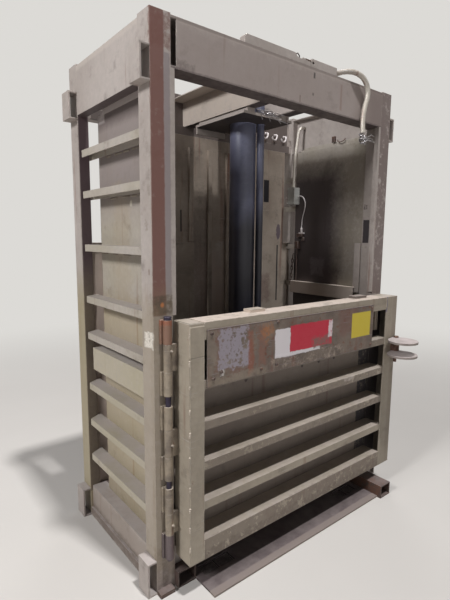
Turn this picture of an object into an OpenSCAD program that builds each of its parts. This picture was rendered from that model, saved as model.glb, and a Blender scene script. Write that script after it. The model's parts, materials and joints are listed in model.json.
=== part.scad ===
// Vertical downstroke recycling baler: a welded frame of posts, headers and ribbed side
// panels, a ribbed front door on a long pin, a round-plate latch, a platen and its cylinder.
// Millimetres. Origin: on the floor, midway between the front posts' front faces. Front faces -Y.

/* [Frame] */
// Overall width over the posts
body_w = 1696; // [1500:1:1900]
// Overall depth over the posts
body_d = 864; // [800:1:1000]
// Height of the posts
post_h = 2515; // [2460:1:2700]
// Width of a front post
front_post_w = 96; // [84:1:110]
// Depth of a front post
front_post_d = 98; // [80:1:120]
// Width of a rear post
rear_post_w = 57; // [45:1:70]
// Depth of a rear post
rear_post_d = 98; // [80:1:110]
// Thickness of the tube walls and plates of the frame
wall = 6; // [4:1:8]
// How far the posts stand above the front header
post_proud = 6; // [0:1:20]
// Height of the front header's web
front_header_h = 199; // [150:1:240]
// Length of the open slot in the front header's left end
header_slot = 27; // [15:1:60]
// Height of a side header's web
side_header_h = 242; // [200:1:280]
// Depth of the side header's flanges
side_flange = 51; // [30:1:70]

/* [Base] */
// Height of the base, from the floor to the chamber floor's top
base_h = 179; // [150:1:200]
// Width of a skid
skid_w = 100; // [70:1:130]
// Height of a skid
skid_h = 80; // [60:1:100]
// How far the right skid stands out in front
skid_nose = 205; // [190:1:260]
// Set-back of the front sill from the post fronts
sill_set = 30; // [10:1:50]
// Height of the low strip along each side
kerb_h = 47; // [30:1:60]
// Thickness of the low strip along each side
kerb_t = 13; // [8:1:20]
// Length of the apron plate in front of the sill
apron_l = 180; // [120:1:188]
// Thickness of the apron plate
apron_t = 10; // [6:1:14]
// Width of a strap slot in the chamber floor
strap_slot = 26; // [16:1:40]

/* [Sides] */
// Distance of a side panel's outer face from the post's outer face
panel_set = 80; // [70:1:84]
// Gap between a side panel's rear edge and the rear post
panel_gap = 76; // [60:1:100]
// How far the side panels reach up behind the side headers
panel_rise = 19; // [10:1:28]
// Height of a side rib
rib_h = 36; // [30:1:45]
// Thickness of a side rib's metal
rib_t = 5; // [4:1:6]
// Set-in of a side rib's outer face
rib_set = 4; // [0:1:8]
// Gap between the cover plate on each side and the rib above it
cover_gap = 35; // [20:1:50]
// Height of the cover plate
cover_h = 121; // [90:1:125]
// Length of the cover plate
cover_l = 562; // [500:1:590]
// Reach of a loop bracket
loop_reach = 45; // [35:1:60]
// Thickness of a loop bracket's bar
loop_t = 8; // [6:1:12]

/* [Door] */
// Top of the door
door_top = 1276; // [1272:1:1290]
// Bottom of the door
door_bottom = 167; // [167:1:170]
// Depth of the door's frame
door_d = 120; // [110:1:126]
// Gap between the door's back and the posts
door_gap = 5; // [3:1:10]
// Width of the door's left stile
left_stile_w = 76; // [60:1:100]
// Width of the door's right stile
right_stile_w = 118; // [90:1:130]
// Height of the door's top rail
top_rail_h = 77; // [60:1:80]
// Height of the door's bottom rail
bottom_rail_h = 98; // [80:1:110]
// Height of a door rib
door_rib_h = 40; // [35:1:50]
// Thickness of the door's back plate
skin_t = 6; // [4:1:8]
// Width of the sign plate's left edge gap
sign_gap = 13; // [8:1:20]
// Width of the open window beside the sign plate
window_w = 148; // [120:1:200]
// Thickness of the sign plate
sign_t = 5; // [3:1:6]

/* [Hinge and latch] */
// Diameter of the hinge pin
pin_d = 25; // [20:1:28]
// Outer diameter of a knuckle
knuckle_d = 38; // [34:1:42]
// Play between a pin and its bore, on the radius
pin_play = 0.05; // [0.03:0.01:0.1]
// Gap between stacked knuckles
knuckle_gap = 1; // [0.6:0.1:2]
// Radius of a latch plate
latch_r = 88; // [70:1:92]
// Thickness of a latch plate
latch_t = 13; // [10:1:16]
// Clear height between the two latch plates
latch_space = 72; // [60:1:90]
// Diameter of the latch pin
latch_pin_d = 20; // [16:1:24]

/* [Press] */
// Outer diameter of the cylinder barrel
barrel_d = 152; // [140:1:160]
// Bore of the cylinder barrel
barrel_bore = 128; // [110:1:132]
// Length of the cylinder barrel
barrel_l = 1960; // [1920:1:2000]
// Diameter of the piston rod
rod_d = 76; // [60:1:90]
// Rod left showing between the platen and the barrel
rod_show = 75; // [70:1:90]
// Height of the platen
platen_h = 220; // [190:1:230]
// Gap between the platen and the ledges beside it
platen_side_gap = 27; // [20:1:40]
// Diameter of the hydraulic pipe
pipe_d = 42; // [30:1:44]
// Gap between the passing cylinder and the hole in the crosshead plate
hole_gap = 5; // [3:1:8]
// Height of a crosshead beam
beam_h = 148; // [120:1:150]
// Width of a crosshead beam's flanges
beam_w = 93; // [70:1:110]
// Thickness of the plate under the crosshead beams
crosshead_t = 13; // [10:1:20]
// Height of the rear header above the rear rail
rear_header_h = 191; // [150:1:195]
// Distance between the webs of the crosshead beams
beam_space = 328; // [310:1:360]

/* [Hidden] */

$fn = 48;
eps = 1;
seat = 0.3;
left = -body_w / 2;
front = 0;
back = front + body_d;
inner_x = left + panel_set + wall;
header_top = post_h - post_proud;
header_z = header_top - front_header_h;
side_header_top = header_top - post_proud;
side_header_z = side_header_top - side_header_h;
panel_top = side_header_z + panel_rise;

back_wall_y = back - 84;
back_wall_x = left + 120;
rear_rail_h = 50;
beam_z = header_z + 2;
rear_rail_z = beam_z - rear_rail_h;
rear_header_y = back - 60;
panel_end = back - rear_post_d - panel_gap;

upper_ribs = [0.827, 0.7431, 0.6322] * post_h;
middle_ribs = [0.5209, 0.4402] * post_h;
lower_ribs = [0.3249, 0.2402, 0.1567] * post_h;
cover_top = middle_ribs[1] - rib_h - cover_gap;
door_h = door_top - door_bottom;
door_ribs = [for (f = [0.7683, 0.5996, 0.431, 0.2597]) door_bottom + f * door_h];

loop_low_h = 166;
loop_high_z = header_top - 269;
loop_high_h = 138;

ledge_z = door_top - 46;
ledge_h = 85;
ledge_reach = 40;
bar_w = 27;
bar_d = 20;
bar_pitch = 150;
bar_offset = 20;
bar_top = 0.8708 * post_h;
short_bar_foot = 0.6402 * post_h;
back_plate_top = 0.6362 * post_h;
back_plate_x = left + 0.4363 * body_w;

apron_cuts = [0.277, 0.333] * body_w;
cleats = [[-0.2093, -0.1533], [0.2889, 0.3514]] * body_w;
stiffener_x = [30, 90];

hinge_x = left + 53;
hinge_y = front - 26;
hinge_groups = [
    door_top * [0.9232, 1.0063, 0.8284, 0.7445],
    door_top * [0.6215, 0.7069, 0.5235, 0.4381],
    door_top * [0.315, 0.4083, 0.2328, 0.1379]
];
strap_x0 = left + 27;
strap_x1 = left + 60;

door_x0 = left + 98;
door_x1 = -left - 6;
door_back = front - door_gap;
door_front = door_back - door_d;
stile_wall = 6;
sign_z0 = door_top - 291;
sign_z1 = door_top - 34;
window_x0 = door_x1 - right_stile_w - window_w;

latch_x = door_x1 - 22;
latch_boss_r = latch_pin_d / 2 + 12;
latch_y = door_front - latch_boss_r;
latch_z = door_top - 348;
latch_dx = -50;
latch_dy = -76;

press_y = front + 0.4861 * body_d;
rod_r = rod_d / 2;
bore_r = barrel_bore / 2;
platen_z = base_h + seat;
platen_top = platen_z + platen_h;
platen_x = body_w / 2 - panel_set - wall - ledge_reach - platen_side_gap;
barrel_z = platen_top + rod_show;
barrel_top = barrel_z + barrel_l;
gland_h = 60;
head_h = 20;
piston_h = 60;
piston_gap = 0.3;
head_gap = 10;
pipe_dx = 71;
pipe_dy = -75;

strip_x0 = -0.2105 * body_w;
strip_x1 = 0.1798 * body_w;
notch_x = -0.0165 * body_w;
strip_hole_x = 0.066 * body_w;
strip_h = 39;
strip_d = 37;
strip_t = 5;

frame_tan = "#8a7f6c";
frame_dark = "#5d5448";
rust = "#6b4a38";
steel_dark = "#2b2c33";

// Free conduit over the header: from the strip's end, over the header's edge and down its face
conduit_d = 29;
conduit_path = [
    [309, 22, 2531], [325, 21.5, 2532.5], [341, 20, 2537], [370, 14, 2547], [402, 5, 2555],
    [434, -7, 2557], [465, -17, 2553], [495, -24, 2543], [520, -27, 2529],
    [541, -28, 2510], [554, -28, 2488], [560, -27, 2464], [558, -26, 2438],
    [550, -25, 2412], [541, -24, 2386], [533, -24, 2358], [527, -25, 2328],
    [523, -27, 2298], [521, -30, 2266], [521, -32, 2236]
];

// Fixed conduit from the junction box up into the right header
box_w = 56;
box_d = 70;
box_top = 0.7952 * post_h;
box_h = 120;
drop_d = 22;
drop_from = [-inner_x - box_w / 2, panel_end, box_top];
drop_to = [-left - wall, panel_end, header_top - 71];
drop_bend = [
    [0, 0], [0, 0.137], [0.01, 0.274], [0.047, 0.411], [0.121, 0.548], [0.215, 0.685],
    [0.29, 0.799], [0.336, 0.89], [0.411, 0.947], [0.561, 0.986], [0.776, 1], [1, 1]
];
drop_path = [
    for (b = drop_bend)
        [for (i = [0:2]) drop_from[i] + [b[0], 0, b[1]][i] * (drop_to[i] - drop_from[i])]
];

// A block from its lowest to its highest corner
module slab(a, b) {
    translate(a)
        cube(b - a);
}

// The children's outline in Y and Z, drawn out along X
module along_x(x0, x1) {
    translate([x0, 0, 0])
        rotate([90, 0, 90])
            linear_extrude(x1 - x0)
                children();
}

// The children's outline in X and Z, drawn out along Y
module along_y(y0, y1) {
    translate([0, y1, 0])
        rotate([90, 0, 0])
            linear_extrude(y1 - y0)
                children();
}

// The children's outline in X and Y, drawn up along Z
module along_z(z0, z1) {
    translate([0, 0, z0])
        linear_extrude(z1 - z0)
            children();
}

// The same piece on the other side of the machine
module other_side() {
    mirror([1, 0, 0])
        children();
}

// Outline of a channel between two corners, open on one side: "left", "right", "up" or "down"
module channel(a, b, t, open) {
    difference() {
        translate(a)
            square(b - a);
        if (open == "right")
            translate(a + [t, t])
                square([b[0] - a[0], b[1] - a[1] - 2 * t]);
        if (open == "left")
            translate(a + [-t, t])
                square([b[0] - a[0], b[1] - a[1] - 2 * t]);
        if (open == "down")
            translate(a + [t, -t])
                square([b[0] - a[0] - 2 * t, b[1] - a[1]]);
        if (open == "up")
            translate(a + [t, t])
                square([b[0] - a[0] - 2 * t, b[1] - a[1]]);
    }
}

// Outline of a rectangular tube between two corners
module box_section(a, b, t) {
    difference() {
        translate(a)
            square(b - a);
        translate(a + [t, t])
            square(b - a - 2 * [t, t]);
    }
}

// A closed tube swept along a route of points, its rings turned square to the route
function unit(v) = v / norm(v);
function heading(p, i) = unit(p[min(i + 1, len(p) - 1)] - p[max(i - 1, 0)]);
function side_of(h) = unit(cross(h, abs(h[1]) < 0.9 ? [0, 1, 0] : [1, 0, 0]));
function ring(c, h, r, n) = [
    for (k = [0:n - 1])
        c + r * (cos(360 * k / n) * side_of(h) + sin(360 * k / n) * cross(side_of(h), h))
];

module swept_tube(p, d, n) {
    points = [for (i = [0:len(p) - 1]) each ring(p[i], heading(p, i), d / 2, n)];
    last = (len(p) - 1) * n;
    sides = [
        for (i = [0:len(p) - 2])
            for (k = [0:n - 1])
                [i * n + k, i * n + (k + 1) % n, (i + 1) * n + (k + 1) % n, (i + 1) * n + k]
    ];
    polyhedron(
        points,
        concat(sides, [[for (k = [n - 1:-1:0]) k]], [[for (k = [0:n - 1]) last + k]]),
        convexity = 4
    );
}

// Base

module skid(y0) {
    color(frame_dark)
        along_y(y0, back)
            box_section([left + front_post_w, 0], [left + front_post_w + skid_w, skid_h], wall);
}

module left_skid() {
    skid(front - sill_set);
}

module right_skid() {
    other_side()
        skid(front - skid_nose);
}

module front_sill() {
    color(frame_tan)
        along_x(left + front_post_w, -left - front_post_w)
            channel(
                [front + sill_set, skid_h],
                [front + sill_set + 70, base_h - wall],
                wall, "right"
            );
}

module rear_sill() {
    color(frame_tan)
        along_x(left + rear_post_w, -left - rear_post_w)
            channel([back - 70, skid_h], [back, base_h - wall], wall, "left");
}

module apron_plate() {
    inner = left + front_post_w + skid_w;
    color(frame_dark)
        difference() {
            slab([inner, front - apron_l, 0], [-inner, front + sill_set + 70, apron_t]);
            for (side = [-1, 1])
                for (x = apron_cuts)
                    slab(
                        [side * x - 45, front - 52, -eps],
                        [side * x + 45, front + 18, apron_t + eps]
                    );
        }
}

module chamber_floor() {
    x0 = left + front_post_w;
    color(frame_dark)
        difference() {
            slab([x0, front + sill_set, base_h - wall], [-x0, back - rear_post_d, base_h]);
            for (k = [-3:3])
                slab(
                    [bar_offset + k * bar_pitch - strap_slot / 2, front + 160, base_h - wall - eps],
                    [bar_offset + k * bar_pitch + strap_slot / 2, back - 180, base_h + eps]
                );
        }
}

// A base rail: a tube under the panel's foot, with the low strip in front of it
module base_rail() {
    y0 = front + front_post_d;
    y1 = back - rear_post_d;
    color(frame_tan) {
        slab([left, y0, 0], [left + kerb_t, y1, kerb_h]);
        along_y(y0, y1)
            box_section([left + kerb_t, 0], [left + front_post_w, base_h], wall);
    }
}

module left_base_rail() {
    base_rail();
}

module right_base_rail() {
    other_side()
        base_rail();
}

// Posts

// A post: a tube with its top closed
module post(x, y, w, d) {
    color(frame_tan) {
        along_z(0, post_h - wall)
            box_section([x, y], [x + w, y + d], wall);
        slab([x, y, post_h - wall], [x + w, y + d, post_h]);
    }
}

module front_left_post() {
    post(left, front, front_post_w, front_post_d);
}

module front_right_post() {
    other_side()
        post(left, front, front_post_w, front_post_d);
}

module rear_left_post() {
    post(left, back - rear_post_d, rear_post_w, rear_post_d);
}

module rear_right_post() {
    other_side()
        post(left, back - rear_post_d, rear_post_w, rear_post_d);
}

module post_toes() {
    color(frame_dark)
        for (side = [0, 1])
            mirror([side, 0, 0])
                slab([left, front - 38, 0], [left + 75, front, 20]);
}

// Headers and rails

module front_header() {
    x0 = left + front_post_w;
    lip = 10;
    color(frame_tan)
        difference() {
            along_x(x0, -x0)
                box_section([front, header_z], [front + 95, header_top], wall);
            slab(
                [x0 - eps, front - eps, header_z + lip],
                [x0 + header_slot, front + wall + eps, header_top - lip]
            );
        }
}

// The rail above the back panel, with the rear header standing on it
module rear_rail() {
    color(frame_tan)
        along_x(left + rear_post_w, -left - rear_post_w) {
            box_section([back_wall_y, rear_rail_z], [back, beam_z], wall);
            box_section([rear_header_y, beam_z - wall], [back, beam_z + rear_header_h], wall);
        }
}

module side_header() {
    color(frame_tan)
        along_y(front + front_post_d, back - rear_post_d)
            channel([left, side_header_z], [left + side_flange, side_header_top], wall, "right");
}

module left_header() {
    side_header();
}

module right_header() {
    other_side()
        side_header();
}

// A torn tube along the header's top edge
module header_strip() {
    chamfer = 9;
    color(frame_tan)
        difference() {
            along_y(front, front + strip_d)
                polygon([
                    [strip_x0, header_top], [strip_x1, header_top],
                    [strip_x1, header_top + strip_h], [strip_x0 + chamfer, header_top + strip_h],
                    [strip_x0, header_top + strip_h - chamfer]
                ]);
            slab(
                [strip_x0 + chamfer, front + strip_t, header_top + strip_t],
                [strip_x1 - strip_t, front + strip_d - strip_t, header_top + strip_h - strip_t]
            );
            along_y(front - eps, front + strip_d + eps)
                translate([notch_x, header_top + strip_h])
                    polygon([[0, eps], [18, -14], [46, -19], [63, -9], [90, -17], [118, -11], [130, eps]]);
            translate([strip_hole_x, front - eps, header_top + strip_h / 2])
                rotate([-90, 0, 0])
                    cylinder(h = strip_t + 2 * eps, d = 16);
        }
}

module gate_guides() {
    color(frame_tan)
        for (side = [0, 1])
            mirror([side, 0, 0])
                slab(
                    [left + front_post_w, front, door_top + 20],
                    [left + front_post_w + 18, front + 30, header_z]
                );
}

// Sides

// A side panel with its folded top strip, bent down at the rear end
module side_panel() {
    x = left + panel_set;
    y0 = front + front_post_d;
    strip = 27;
    color(frame_tan) {
        slab([x, y0, base_h], [x + wall, panel_end, panel_top - strip]);
        rotate([90, 0, 90])
            translate([0, 0, x - 2])
                linear_extrude(wall)
                    polygon([
                        [y0, panel_top - strip], [panel_end - 88, panel_top - strip],
                        [panel_end, panel_top - 2.2 * strip], [panel_end, panel_top - 1.5 * strip],
                        [panel_end - 80, panel_top - 4], [y0, panel_top]
                    ]);
    }
}

module left_panel() {
    side_panel();
}

module right_panel() {
    other_side()
        side_panel();
}

// A side rib: a channel open downward, coped at its rear end to run on inside the rear post, as far
// as the back's lower corner plate where there is one
module side_rib(top) {
    x0 = left + rib_set;
    x1 = left + panel_set;
    y0 = front + front_post_d;
    y_post = back - rear_post_d;
    x_post = left + rear_post_w;
    y1 = top > back_plate_top ? y_post + 50 : back_wall_y - seat;
    color(frame_tan)
        intersection() {
            along_y(y0, y_post + 60)
                channel([x0, top - rib_h], [x1, top], rib_t, "down");
            along_z(top - rib_h - eps, top + eps)
                polygon([
                    [x0, y0], [x1, y0], [x1, y1], [x_post, y1],
                    [x_post, y_post], [x0, y_post - 31]
                ]);
        }
}

module left_upper_ribs() {
    for (top = upper_ribs)
        side_rib(top);
}

module left_middle_ribs() {
    for (top = middle_ribs)
        side_rib(top);
}

module left_lower_ribs() {
    for (top = lower_ribs)
        side_rib(top);
}

module right_upper_ribs() {
    other_side()
        left_upper_ribs();
}

module right_middle_ribs() {
    other_side()
        left_middle_ribs();
}

module right_lower_ribs() {
    other_side()
        left_lower_ribs();
}

module side_cover() {
    y0 = front + front_post_d;
    color(frame_tan)
        along_y(y0, y0 + cover_l)
            channel([left, cover_top - cover_h], [left + panel_set, cover_top], rib_t, "right");
}

module left_cover() {
    side_cover();
}

module right_cover() {
    other_side()
        side_cover();
}

// Bent flat bars: an open loop on the outer face of each post, at its foot and at its head
module loop_bracket(y0, y1, z0, h) {
    along_y(y0, y1)
        channel([left - loop_reach, z0], [left, z0 + h], loop_t, "right");
}

module loop_brackets() {
    color(frame_tan)
        for (side = [0, 1])
            mirror([side, 0, 0])
                for (y = [front, back - rear_post_d])
                    for (z = [[0, loop_low_h], [loop_high_z, loop_high_h]])
                        loop_bracket(y, y + 92, z[0], z[1]);
}

// A ledge bar along the inside of a side panel: a channel, its web towards the chamber
module ledge() {
    color(frame_tan)
        along_y(front + 130, panel_end)
            channel([inner_x, ledge_z], [inner_x + ledge_reach, ledge_z + ledge_h], wall, "left");
}

module left_ledge() {
    ledge();
}

module right_ledge() {
    other_side()
        ledge();
}

// Back

// The back panel, with a lower plate with a lip beside it on each side
module back_panel() {
    lip = 20;
    color(frame_tan) {
        slab([back_wall_x, back_wall_y, base_h - wall], [-back_wall_x, back_wall_y + wall, rear_rail_z]);
        for (side = [0, 1])
            mirror([side, 0, 0]) {
                slab(
                    [left + rear_post_w, back_wall_y, base_h - wall],
                    [back_wall_x + eps, back_wall_y + wall, back_plate_top]
                );
                slab(
                    [left + rear_post_w, back_wall_y - lip, back_plate_top - wall],
                    [back_wall_x, back_wall_y + wall, back_plate_top]
                );
            }
    }
}

// Guide bars on the back panel, one behind each strap slot
module back_bars() {
    color(frame_tan)
        for (k = [-3:3]) {
            x = bar_offset + k * bar_pitch;
            along_z(k < 0 ? short_bar_foot : base_h, bar_top)
                channel(
                    [x - bar_w / 2, back_wall_y - bar_d],
                    [x + bar_w / 2, back_wall_y],
                    4, "up"
                );
        }
}

// The stepped plate on the lower left of the back panel
module back_plate() {
    color(frame_tan)
        slab([back_wall_x, back_wall_y - 16, base_h], [back_plate_x, back_wall_y, back_plate_top]);
}

// Crosshead

// A crosshead beam: a Z section, its top flange outward and its bottom flange inward, short enough
// to pass the cylinder's pipe
module beam() {
    web_x = -beam_space / 2;
    inner_w = beam_space / 2 - pipe_dx - pipe_d / 2 - hole_gap;
    color(frame_tan)
        along_y(front + 95, rear_header_y) {
            translate([web_x, beam_z])
                square([wall, beam_h]);
            translate([web_x + wall - beam_w, beam_z + beam_h - wall])
                square([beam_w, wall]);
            translate([web_x, beam_z])
                square([inner_w, wall]);
        }
}

module left_beam() {
    beam();
}

module right_beam() {
    other_side()
        beam();
}

// Plate under the beams on two packing bars, with the hole that the cylinder passes and a flat
// bar under its rear edge
module crosshead_plate() {
    y0 = press_y - 214;
    y1 = press_y + 220;
    x1 = beam_space / 2 + 16;
    packing = 21;
    bar_t = 12;
    bar_h = 37;
    z0 = beam_z - packing - crosshead_t;
    pipe_hole = pipe_d / 2 + hole_gap;
    color(frame_tan) {
        difference() {
            slab([-x1, y0, z0], [x1, y1, z0 + crosshead_t]);
            translate([0, press_y, z0 - eps])
                cylinder(h = crosshead_t + 2 * eps, d = barrel_d + 2 * hole_gap);
            hull()
                for (f = [0.6, 1])
                    translate([f * pipe_dx, press_y + f * pipe_dy, z0 - eps])
                        cylinder(h = crosshead_t + 2 * eps, r = pipe_hole, $fn = 32);
        }
        for (side = [0, 1])
            mirror([side, 0, 0])
                slab(
                    [-beam_space / 2 + 8, y0, z0 + crosshead_t - eps],
                    [-beam_space / 2 + beam_w - 33, y1, beam_z]
                );
        slab([-x1 + 2, y1 - bar_t, z0 - bar_h], [34, y1, z0 + eps]);
    }
}

// Electrics

module junction_box() {
    color("#6f706c")
        difference() {
            slab(
                [-inner_x - box_w, panel_end - box_d / 2, box_top - box_h],
                [-inner_x, panel_end + box_d / 2, box_top]
            );
            slab(
                [-inner_x - box_w - eps, panel_end - box_d / 2 + 8, box_top - box_h + 8],
                [-inner_x - box_w + 2, panel_end + box_d / 2 - 8, box_top - 8]
            );
        }
}

module drop_conduit() {
    color("#8d8c86")
        swept_tube(drop_path, drop_d, 10);
}

module header_conduit() {
    color("#8b8780")
        swept_tube(conduit_path, conduit_d, 10);
}

// Hinge

module hinge_pin() {
    top = hinge_groups[0][1];
    foot = hinge_groups[2][3];
    color(rust)
        translate([hinge_x, hinge_y, 0]) {
            translate([0, 0, foot - 8])
                cylinder(h = top - foot + 8 + eps, d = pin_d);
            translate([0, 0, top + eps])
                cylinder(h = 14, d = knuckle_d - 4);
        }
}

// A knuckle between two heights, with a tab out to x and y on the piece that carries it
module knuckle(z0, z1, a, b) {
    difference() {
        union() {
            translate([hinge_x, hinge_y, z0])
                cylinder(h = z1 - z0, d = knuckle_d);
            slab([a[0], a[1], z0], [b[0], b[1], z1]);
        }
        translate([hinge_x, hinge_y, z0 - eps])
            cylinder(h = z1 - z0 + 2 * eps, d = pin_d + 2 * pin_play);
    }
}

module post_knuckles() {
    a = [strap_x0, hinge_y + knuckle_d / 2 - 6];
    b = [strap_x1, front];
    color(frame_tan)
        for (g = hinge_groups) {
            knuckle(g[0] + knuckle_gap / 2, g[1], a, b);
            knuckle(g[3], g[2] - knuckle_gap / 2, a, b);
        }
}

module door_knuckles() {
    a = [hinge_x, hinge_y - 7];
    b = [door_x0, hinge_y + 7];
    color(frame_tan)
        for (g = hinge_groups)
            knuckle(g[2] + knuckle_gap / 2, g[0] - knuckle_gap / 2, a, b);
}

// Door

module door_left_stile() {
    color(frame_tan)
        along_z(door_bottom, door_top - 3)
            box_section([door_x0, door_front], [door_x0 + left_stile_w, door_back - skin_t], stile_wall);
}

module door_right_stile() {
    color(frame_tan)
        along_z(door_bottom, door_top)
            channel([door_x1 - right_stile_w, door_front], [door_x1, door_back - skin_t], stile_wall, "left");
}

module door_top_rail() {
    x0 = door_x0 + left_stile_w;
    x1 = door_x1 - right_stile_w;
    color(frame_tan) {
        along_x(x0, x1)
            box_section([door_front, door_top - top_rail_h], [door_back - skin_t, door_top], stile_wall);
        for (x = cleats)
            slab([x[0], door_back - 60, door_top], [x[1], door_back - skin_t, door_top + 15]);
    }
}

module door_bottom_rail() {
    color(frame_tan)
        along_x(door_x0 + left_stile_w, door_x1 - right_stile_w)
            channel(
                [door_front, door_bottom],
                [door_back - skin_t, door_bottom + bottom_rail_h],
                stile_wall, "down"
            );
}

module door_rib(top) {
    color(frame_tan)
        along_x(door_x0 + left_stile_w, door_x1 - right_stile_w)
            channel([door_front, top - door_rib_h], [door_back - skin_t, top], stile_wall, "down");
}

module door_rib_1() {
    door_rib(door_ribs[0]);
}

module door_rib_2() {
    door_rib(door_ribs[1]);
}

module door_rib_3() {
    door_rib(door_ribs[2]);
}

module door_rib_4() {
    door_rib(door_ribs[3]);
}

module door_skin() {
    color(frame_tan) {
        slab([door_x0, door_back - skin_t, door_bottom], [door_x1, door_back, door_top]);
        for (x = stiffener_x)
            slab(
                [window_x0 + x, door_back - skin_t - 30, door_ribs[0]],
                [window_x0 + x + 22, door_back - skin_t, door_top - top_rail_h]
            );
    }
}

module sign_plate() {
    color(frame_dark)
        slab(
            [door_x0 + left_stile_w + sign_gap, door_front - sign_t, sign_z0],
            [window_x0, door_front, sign_z1]
        );
}

// Latch

module latch_bracket() {
    r = latch_boss_r;
    z0 = latch_z + 1;
    h = latch_space - 2;
    color(frame_tan)
        difference() {
            union() {
                translate([latch_x, latch_y, z0])
                    cylinder(h = h, r = r);
                slab([latch_x - r, latch_y, z0], [latch_x + r, door_front, z0 + h]);
            }
            translate([latch_x, latch_y, z0 - eps])
                cylinder(h = h + 2 * eps, d = latch_pin_d + 2 * pin_play);
        }
}

module latch_plate(z0) {
    difference() {
        hull() {
            translate([latch_x, latch_y, z0])
                cylinder(h = latch_t, r = latch_pin_d / 2 + 9, $fn = 32);
            translate([latch_x + latch_dx, latch_y + latch_dy, z0])
                cylinder(h = latch_t, r = latch_r, $fn = 64);
        }
        translate([latch_x, latch_y, z0 - eps])
            cylinder(h = latch_t + 2 * eps, d = latch_pin_d);
    }
}

module latch_plates() {
    color("#9a938a") {
        latch_plate(latch_z - latch_t);
        latch_plate(latch_z + latch_space);
    }
}

module latch_pin() {
    z0 = latch_z - latch_t - 60;
    z1 = latch_z + latch_space + latch_t;
    color(rust)
        translate([latch_x, latch_y, 0]) {
            translate([0, 0, z0])
                cylinder(h = z1 - z0, d = latch_pin_d);
            translate([0, 0, z1])
                cylinder(h = 9, d = latch_pin_d + 10);
            translate([0, 0, latch_z - latch_t - 16])
                cylinder(h = 16, d = latch_pin_d + 12, $fn = 6);
        }
}

// Press

module platen() {
    y0 = front + 25;
    y1 = back_wall_y - bar_d - 25;
    plate = 20;
    depth = y1 - y0;
    color(frame_dark) {
        slab([-platen_x, y0, platen_z], [platen_x, y1, platen_z + plate]);
        for (y = [y0, y0 + depth / 3, y0 + 2 * depth / 3, y1 - 60])
            along_x(-platen_x, platen_x)
                channel([y, platen_z + plate], [y + 60, platen_top - plate], 8, "down");
        slab([-160, y0, platen_top - plate], [160, y1, platen_top]);
    }
}

module piston_rod() {
    piston_top = barrel_top - head_h - head_gap;
    color("#b9bcc2")
        translate([0, press_y, 0]) {
            translate([0, 0, platen_top])
                cylinder(h = 24, r = rod_r + 22);
            translate([0, 0, platen_top])
                cylinder(h = piston_top - platen_top, r = rod_r);
            translate([0, 0, piston_top - piston_h])
                cylinder(h = piston_h, r = bore_r - piston_gap);
        }
}

module cylinder_port(z) {
    reach = norm([pipe_dx, pipe_dy]);
    translate([0, press_y, z])
        rotate([0, 0, atan2(pipe_dy, pipe_dx)])
            rotate([0, 90, 0])
                translate([0, 0, barrel_d / 2 - 4])
                    cylinder(h = reach - barrel_d / 2 + 4, d = pipe_d - 8);
}

module cylinder_assembly() {
    color(steel_dark) {
        translate([0, press_y, barrel_z])
            rotate_extrude()
                polygon([
                    [rod_r + pin_play, 0], [barrel_d / 2, 0], [barrel_d / 2, barrel_l], [0, barrel_l],
                    [0, barrel_l - head_h], [bore_r, barrel_l - head_h], [bore_r, gland_h],
                    [rod_r + pin_play, gland_h]
                ]);
        cylinder_port(barrel_z + 110);
        cylinder_port(barrel_top - 70);
        translate([pipe_dx, press_y + pipe_dy, barrel_z + 110 - pipe_d / 2])
            cylinder(h = barrel_l - 180 + pipe_d, d = pipe_d);
    }
}

left_skid();
right_skid();
front_sill();
rear_sill();
apron_plate();
chamber_floor();
front_left_post();
front_right_post();
rear_left_post();
rear_right_post();
post_toes();
front_header();
rear_rail();
left_header();
right_header();
left_panel();
right_panel();
left_upper_ribs();
left_middle_ribs();
left_lower_ribs();
right_upper_ribs();
right_middle_ribs();
right_lower_ribs();
left_cover();
right_cover();
left_base_rail();
right_base_rail();
back_panel();
back_bars();
back_plate();
left_ledge();
right_ledge();
gate_guides();
left_beam();
right_beam();
crosshead_plate();
loop_brackets();
header_strip();
junction_box();
drop_conduit();
header_conduit();
hinge_pin();
post_knuckles();
door_left_stile();
door_right_stile();
door_top_rail();
door_bottom_rail();
door_rib_1();
door_rib_2();
door_rib_3();
door_rib_4();
door_skin();
sign_plate();
door_knuckles();
latch_bracket();
latch_plates();
latch_pin();
platen();
piston_rod();
cylinder_assembly();  // cylinder
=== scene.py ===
"""Looks of a vertical downstroke recycling baler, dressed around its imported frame.

Everything is in metres in the part's own frame: X runs to the right, Y to the back and Z up, and
the origin lies on the floor midway between the front faces of the two front posts.
"""

import json
import logging
import math
import random
from dataclasses import dataclass
from enum import Enum
from typing import Any, Iterable, Sequence

import bmesh
import bpy
from mathutils import Matrix, Vector


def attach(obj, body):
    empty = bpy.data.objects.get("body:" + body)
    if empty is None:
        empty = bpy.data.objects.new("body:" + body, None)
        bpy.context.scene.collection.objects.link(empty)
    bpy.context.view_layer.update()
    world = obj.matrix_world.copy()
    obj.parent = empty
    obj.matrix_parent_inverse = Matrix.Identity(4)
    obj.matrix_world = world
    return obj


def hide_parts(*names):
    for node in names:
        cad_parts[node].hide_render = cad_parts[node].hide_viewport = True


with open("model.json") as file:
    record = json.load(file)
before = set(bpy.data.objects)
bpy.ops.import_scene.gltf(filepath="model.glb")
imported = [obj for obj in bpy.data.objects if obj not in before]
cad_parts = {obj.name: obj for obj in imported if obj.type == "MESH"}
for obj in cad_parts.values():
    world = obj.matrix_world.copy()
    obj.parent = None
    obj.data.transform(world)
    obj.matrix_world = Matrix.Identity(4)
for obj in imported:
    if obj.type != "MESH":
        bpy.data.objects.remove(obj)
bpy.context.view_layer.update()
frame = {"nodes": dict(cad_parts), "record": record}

Point = tuple[float, float, float]
Tree, Socket = bpy.types.NodeTree, bpy.types.NodeSocket
Material, Thing = bpy.types.Material, bpy.types.Object
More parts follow.
